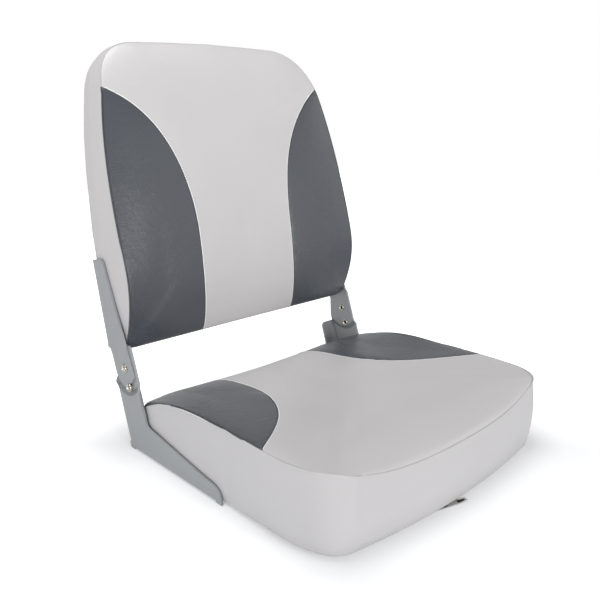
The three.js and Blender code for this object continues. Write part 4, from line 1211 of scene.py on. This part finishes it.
def seam_row(form, layer, keep, path, closed):
    """The places and normals of the vertices on a seam, in their order along its path."""
    grid = cushions[form.name]["grid"]
    found = [corner for corner in grid.verts if corner[layer] == 0.0 and keep(corner)]
    places = np.array([corner.co[:] for corner in found]) / MM
    normals = np.array([corner.normal[:] for corner in found])
    flat = places[:, :2].copy()
    if not closed:
        flat[:, 0] = np.abs(flat[:, 0])
    _, station = along_path(path, flat, closed)
    order = np.argsort(station)
    return places[order], normals[order]


def spaced(places, normals):
    """Even places along a row, with the normal and the way ahead at each."""
    marks = run_lengths(places)
    wanted = np.arange(STITCH_STEP / 2, marks[-1], STITCH_STEP)

    def read(values, spots):
        return np.stack([np.interp(spots, marks, values[:, axis]) for axis in range(3)], axis=1)

    ahead = read(places, wanted + LOOK_AHEAD) - read(places, wanted - LOOK_AHEAD)
    return read(places, wanted), read(normals, wanted), ahead


def runs_where(places, normals, chosen):
    """Splits a row into the stretches whose places are chosen, and drops the shortest."""
    runs, start = [], None
    for index, good in enumerate(list(chosen) + [False]):
        if good and start is None:
            start = index
        if not good and start is not None:
            if index - start > SHORTEST_RUN:
                runs.append((places[start:index], normals[start:index]))
            start = None
    return runs


print("stitches in 100 mm:", round(100 / STITCH_STEP))

# %% Copy the stitch along a seam's runs
STITCH_LIFT = 0.25
TINY = 1e-9


def sew(name, form, runs, thread):
    """Copies the stitch along the seams' runs, as one piece."""
    shape, faces = stitch_shape()
    points, all_faces = [], []
    for places, normals in runs:
        for at, up, ahead in zip(*spaced(places, normals)):
            ahead = ahead / max(np.linalg.norm(ahead), TINY)
            side = np.cross(up, ahead)
            side /= max(np.linalg.norm(side), TINY)
            rise = np.cross(ahead, side)
            base = len(points)
            centre = at + rise * STITCH_LIFT
            points.extend((centre + ahead * x + side * y + rise * z) * MM for x, y, z in shape)
            all_faces.extend(tuple(base + corner for corner in face) for face in faces)
    print(name, "has", len(points) // len(shape), "stitches")
    sewn_piece(name, form, points, all_faces, thread)


def sewn_piece(name, form, points, all_faces, finish):
    mesh = bpy.data.meshes.new(name)
    mesh.from_pydata([tuple(point) for point in points], [], all_faces)
    mesh.transform(upright(form))
    obj = placed(name, mesh)
    face_outwards(obj)
    bpy.ops.object.shade_smooth()
    mesh.materials.append(finish)
    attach(obj, form.body)


print("a stitch stands", STITCH_LIFT, "mm over its seam")

# %% Sew the seams, and turn the pale edge
ROLL_STEPS = 8
ROLL_OFFSET = 1.25
ROLL_RADIUS = 0.7


def light_side(form, at, side, on_rim):
    """Turns side to the paler panel: down the band from the rim, or out of the charcoal panel."""
    if on_rim:
        return side if side[2] < 0 else -side
    ahead, behind = (inside_dark(form, (at + side * way)[None])[0][0] for way in (2, -2))
    return side if ahead < behind else -side


def turn_edge(name, form, runs):
    """The folded edge of the pale vinyl, a thin roll beside each charcoal seam, coloured near white
    as a painted highlight.
    """
    points, all_faces = [], []
    for places, normals, on_rim in runs:
        at, up, ahead = spaced(places, normals)
        middle = len(at) // 2
        ahead = ahead / np.maximum(np.linalg.norm(ahead, axis=1), TINY)[:, None]
        side = np.cross(up, ahead)
        side /= np.maximum(np.linalg.norm(side, axis=1), TINY)[:, None]
        chosen = light_side(form, at[middle], side[middle], on_rim)
        side = side * np.sign((chosen * side[middle]).sum())
        base = len(points)
        for step in range(ROLL_STEPS):
            turn = math.tau * step / ROLL_STEPS
            ring = at + side * (ROLL_OFFSET + math.cos(turn) * ROLL_RADIUS)
            points.extend((ring + up * (math.sin(turn) * ROLL_RADIUS)) * MM)
        count = len(at)
        for step in range(ROLL_STEPS):
            one, two = base + step * count, base + (step + 1) % ROLL_STEPS * count
            all_faces.extend((one + n, one + n + 1, two + n + 1, two + n) for n in range(count - 1))
        all_faces.append(tuple(base + step * count for step in range(ROLL_STEPS)))
        all_faces.append(tuple(base + step * count + count - 1 for step in range(ROLL_STEPS)))
    sewn_piece(name, form, points, all_faces, PALE_EDGE_HIGHLIGHT)


for form in (Seat, Back):
    edge_layer, panel_layer, _ = cushions[form.name]["layers"]
    places, normals = seam_row(form, edge_layer, lambda corner: True, form.outline, True)
    beside_dark, _ = inside_dark(form, places)
    sew(form.name + "_edge_stitches", form, runs_where(places, normals, beside_dark < -1),
        PALE_THREAD)
    rims = runs_where(places, normals, beside_dark > 1)
    curves = [seam_row(form, panel_layer,
                       lambda corner: corner[edge_layer] > 1.5 and corner.co.x * side > 0,
                       form.panel, False) for side in (-1, 1)]
    sew(form.name + "_panel_stitches", form, rims + curves, DARK_THREAD)
    turn_edge(form.name + "_turned_edges", form,
              [(*run, True) for run in rims] + [(*run, False) for run in curves])

# %% [markdown]
# ## Hinges
# Each hinge is two stamped plates of 3 mm steel. A press leaves their edges slightly rounded,
# and that thin edge is what catches the light. The CAD plates have the right shape, so a copy
# of each is welded, cleaned of its flat triangles and given a small rounded edge. That rounded
# edge takes a lighter, glossier coat, which is a painted highlight.

# %% A CAD plate without its flat triangles
WELD = 0.02 * MM


def welded_copy(node, name):
    """A copy of a CAD node whose loose triangles are merged into flat faces."""
    source = frame["nodes"][node]
    mesh = source.data.copy()
    mesh.transform(source.matrix_world)
    obj = placed(name, mesh)
    mesh.materials.clear()
    only(obj)
    bpy.ops.object.mode_set(mode="EDIT")
    bpy.ops.mesh.select_all(action="SELECT")
    bpy.ops.mesh.remove_doubles(threshold=WELD)
    bpy.ops.mesh.dissolve_limited(angle_limit=math.radians(1.0))
    bpy.ops.object.mode_set(mode="OBJECT")
    return obj


print("corners within", round(WELD / MM, 2), "mm are welded")

# %% The pressed step round the pivot
STEP_INNER = 31
STEP_OUTER = 36.5
STEP_DEPTH = 3.3
STEP_WIDER = 1.32
EAR_INNER = 208.7
SHEET = 3
LEG_WAY = (-0.307, -0.952)


def from_pivot(point):
    """How far back and up from the hinge line a point lies, how far in all, and down the leg."""
    back, high = point.y / MM - PIVOT_BACK, point.z / MM - PIVOT_HIGH
    return back, high, math.hypot(back, high), LEG_WAY[0] * back + LEG_WAY[1] * high


def press_step(obj):
    """Widens the pressed step a little, as the photograph shows it."""
    for corner in obj.data.vertices:
        across = abs(corner.co.x) / MM
        back, high, radius, down_leg = from_pivot(corner.co)
        share = (radius - STEP_INNER) / (STEP_OUTER - STEP_INNER)
        inner = EAR_INNER + STEP_DEPTH * float(ease(share))
        on_sheet = min(abs(across - inner), abs(across - inner - SHEET)) < 0.2
        if -0.01 <= share <= 1.01 and down_leg > 0 and on_sheet:
            wider = STEP_INNER + (radius - STEP_INNER) * STEP_WIDER
            closer = wider / radius
            corner.co.y = (PIVOT_BACK + back * closer) * MM
            corner.co.z = (PIVOT_HIGH + high * closer) * MM


def paint_step_shade(obj):
    """A darker coat on the pressed step: painted shade, where the step faces away from the light.
    """
    obj.data.materials.append(STEEL_STEP_SHADE)
    for face in obj.data.polygons:
        _, _, radius, down_leg = from_pivot(face.center)
        on_step = STEP_INNER < radius < STEP_INNER + (STEP_OUTER - STEP_INNER) * STEP_WIDER
        if on_step and 0.45 < abs(face.normal.x) < 0.985 and down_leg > 6:
            face.material_index = len(obj.data.materials) - 1


print("the step is", STEP_DEPTH, "mm deep")

# %% Round the edges of the stamped plates
PRESSED_EDGE = 0.6 * MM
SHARP_BEND = math.radians(50)
SMOOTH_UP_TO = math.radians(44)


def dress(node, body):
    """Rounds a plate's edges, which take a lighter coat as a painted highlight, and smooths its
    bends.
    """
    obj = welded_copy(node, node + "_plate")
    pressed = node.startswith("lower_bracket")
    obj.data.materials.append(STEEL)
    obj.data.materials.append(STEEL_EDGE_HIGHLIGHT)
    if pressed:
        press_step(obj)
    apply_modifier(obj, "BEVEL", width=PRESSED_EDGE, segments=2, limit_method="ANGLE",
                   angle_limit=SHARP_BEND, use_clamp_overlap=True, material=1)
    if pressed:
        paint_step_shade(obj)
    only(obj)
    bpy.ops.object.shade_smooth_by_angle(angle=SMOOTH_UP_TO)
    apply_modifier(obj, "WEIGHTED_NORMAL", keep_sharp=True, weight=80)
    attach(obj, body)
    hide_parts(node)
    print(obj.name, len(obj.data.polygons), "faces")


for side in ("left", "right"):
    dress("lower_bracket_" + side, SEAT_BODY)
    dress("upper_arm_" + side, BACK_BODY)

# %% [markdown]
# ## Rivets and stop pins
# The pivots are hollow rivets: a turned tube whose two ends are rolled over into a rim. The
# stop pins are the same, and the arm's shoulder rests on them. A lathe turns them here: a disc
# is pushed up step by step and made wider or narrower at each step. The faces deep in each
# hollow are coloured near black, as painted shade.

# %% Turn the hollow rivets
TURNED_STEPS = 40
RIVET_ENDS = {"inner": 1.0, "outer": 2.0}
HOLLOW_RADIUS = 3.3
HOLLOW_DEPTH = 0.3


def rivet_profile(length):
    """Radius and height of each ring, from the recess of the inner end to that of the outer."""
    foot, head = RIVET_ENDS["inner"], length - RIVET_ENDS["outer"]
    return [(0.4, 2.9), (2.9, 2.8), (3.1, 1.5), (3.6, 0.3), (4.4, 0.0), (5.2, 0.3), (5.5, 0.75),
            (5.4, foot), (4.0, foot), (4.0, head), (5.9, head), (6.1, head + 0.5),
            (5.9, length - 0.4), (5.4, length), (4.9, length - 0.1), (4.3, length - 0.8),
            (3.7, length - 2.4), (3.4, length - 4.6), (0.4, length - 4.8)]


def turned_piece(name, profile, place, toward):
    """Turns a profile of radii and heights, and stands it at a place, pointing the way given."""
    bpy.ops.object.select_all(action="DESELECT")
    bpy.ops.mesh.primitive_circle_add(
        vertices=TURNED_STEPS, radius=profile[0][0] * MM, fill_type="NGON", location=(0, 0, 0))
    obj = bpy.context.object
    obj.name = name
    bpy.ops.object.mode_set(mode="EDIT")
    bpy.ops.mesh.select_all(action="SELECT")
    for (radius, height), (wider, higher) in zip(profile, profile[1:]):
        rise = {"value": (0, 0, (higher - height) * MM)}
        bpy.ops.mesh.extrude_region_move(TRANSFORM_OT_translate=rise)
        bpy.ops.transform.resize(value=(wider / radius, wider / radius, 1))
    bpy.ops.object.mode_set(mode="OBJECT")
    face_outwards(obj)
    obj.data.materials.append(NICKEL)
    obj.data.materials.append(HOLLOW_SHADE)
    obj.data.transform(Matrix.Translation((0, 0, profile[0][1] * MM)))
    # Faces deep in the hollow take the near-black finish, which is painted shade.
    deep_from, deep_to = profile[0][1] - HOLLOW_DEPTH, profile[-1][1] + HOLLOW_DEPTH
    for face in obj.data.polygons:
        within = math.hypot(face.center.x, face.center.y) < HOLLOW_RADIUS * MM
        face.material_index = int(within and deep_from < face.center.z / MM < deep_to)
    turn = Vector(toward).to_track_quat("Z", "Y").to_matrix().to_4x4()
    obj.data.transform(Matrix.Translation(Vector(place)) @ turn)
    only(obj)
    bpy.ops.object.shade_smooth_by_angle(angle=SHARP_BEND)
    return obj


for node in ("pivot_rivet_left", "pivot_rivet_right", "stop_pin_left", "stop_pin_right"):
    low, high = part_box(node)
    side = 1 if low[0] > 0 else -1
    near, away = sorted((abs(low[0]), abs(high[0])))
    place = (side * near, (low[1] + high[1]) / 2, (low[2] + high[2]) / 2)
    rivet = turned_piece(node + "_turned", rivet_profile((away - near) / MM), place, (side, 0, 0))
    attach(rivet, SEAT_BODY)
    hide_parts(node)
    print(rivet.name, len(rivet.data.polygons), "faces")

# %% [markdown]
# ## Hardware and hidden pieces
# The hook is a thin pressed blade with a raised rim round a hollow, and the strap's eyelet is
# a rolled ring. Both are small and bright, so the eye goes to them, and they are modelled
# again here. The screws, inserts, washer, webbing and boards stay as the CAD drew them, with
# their finishes.

# %% The strap's hook and its eyelet
STRAP_TURN = math.radians(-16)
STRAP_FOOT = Vector((-0.096, -0.160, 0))
HOOK_FROM = 0.082
HOOK_RIM = 1.9
HOOK_RECESS = 0.6
HOOK_SMOOTH = math.radians(40)
FACING_UP = 0.8
EYELET_LIFT = 0.05 * MM
EYELET = [(0.3, 0.0), (1.0, 0.0), (1.0, 2.3), (2.4, 2.3), (2.7, 2.6), (2.5, 2.95), (1.9, 3.1),
          (1.4, 2.9), (1.2, 2.4), (0.3, 2.3)]


def along_strap(point):
    """How far along the strap a point lies, from its screwed end."""
    return (point - STRAP_FOOT).dot(Vector((math.cos(STRAP_TURN), math.sin(STRAP_TURN), 0)))


hook = welded_copy("strap_hook", "strap_hook_pressed")
for finish in (ZINC, HOLLOW_SHADE):
    hook.data.materials.append(finish)
grid = bmesh.new()
grid.from_mesh(hook.data)
grid.normal_update()
blade = [face for face in grid.faces
         if face.normal.z > FACING_UP and along_strap(face.calc_center_median()) > HOOK_FROM]
bmesh.ops.inset_region(grid, faces=blade, thickness=HOOK_RIM * MM, depth=0, use_even_offset=True)
# The hook's hollow takes the near-black finish, which is painted shade.
for face in blade:
    face.material_index = 1
for corner in {corner for face in blade for corner in face.verts}:
    corner.co.z -= HOOK_RECESS * MM
grid.to_mesh(hook.data)
grid.free()
only(hook)
bpy.ops.object.shade_smooth_by_angle(angle=HOOK_SMOOTH)
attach(hook, SEAT_BODY)
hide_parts("strap_hook")

low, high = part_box("strap_rivet")
place = ((low[0] + high[0]) / 2, (low[1] + high[1]) / 2, EYELET_LIFT)
eyelet = turned_piece("strap_eyelet", EYELET, place, (0, 0, 1))
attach(eyelet, SEAT_BODY)
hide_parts("strap_rivet")
print("hook has", len(hook.data.polygons), "faces, eyelet", len(eyelet.data.polygons))

# %% Finish the remaining CAD nodes
REST = {"plated_steel": NICKEL, "moulded_plastic": BOARD, "panel_plastic": PANEL,
        "webbing": WEBBING}
slots = {row["node"]: row["material_slot"] for row in frame["record"]["subparts"]}
for node, obj in frame["nodes"].items():
    if slots.get(node) in REST:
        obj.data.materials.clear()
        obj.data.materials.append(REST[slots[node]])
print("left as drawn:", [node for node in slots if slots[node] in REST])

# %% [markdown]
# ## The end
# The view shows colours as the shaders give them.

# %% View settings
bpy.context.scene.view_settings.view_transform = "Standard"
bpy.context.view_layer.update()
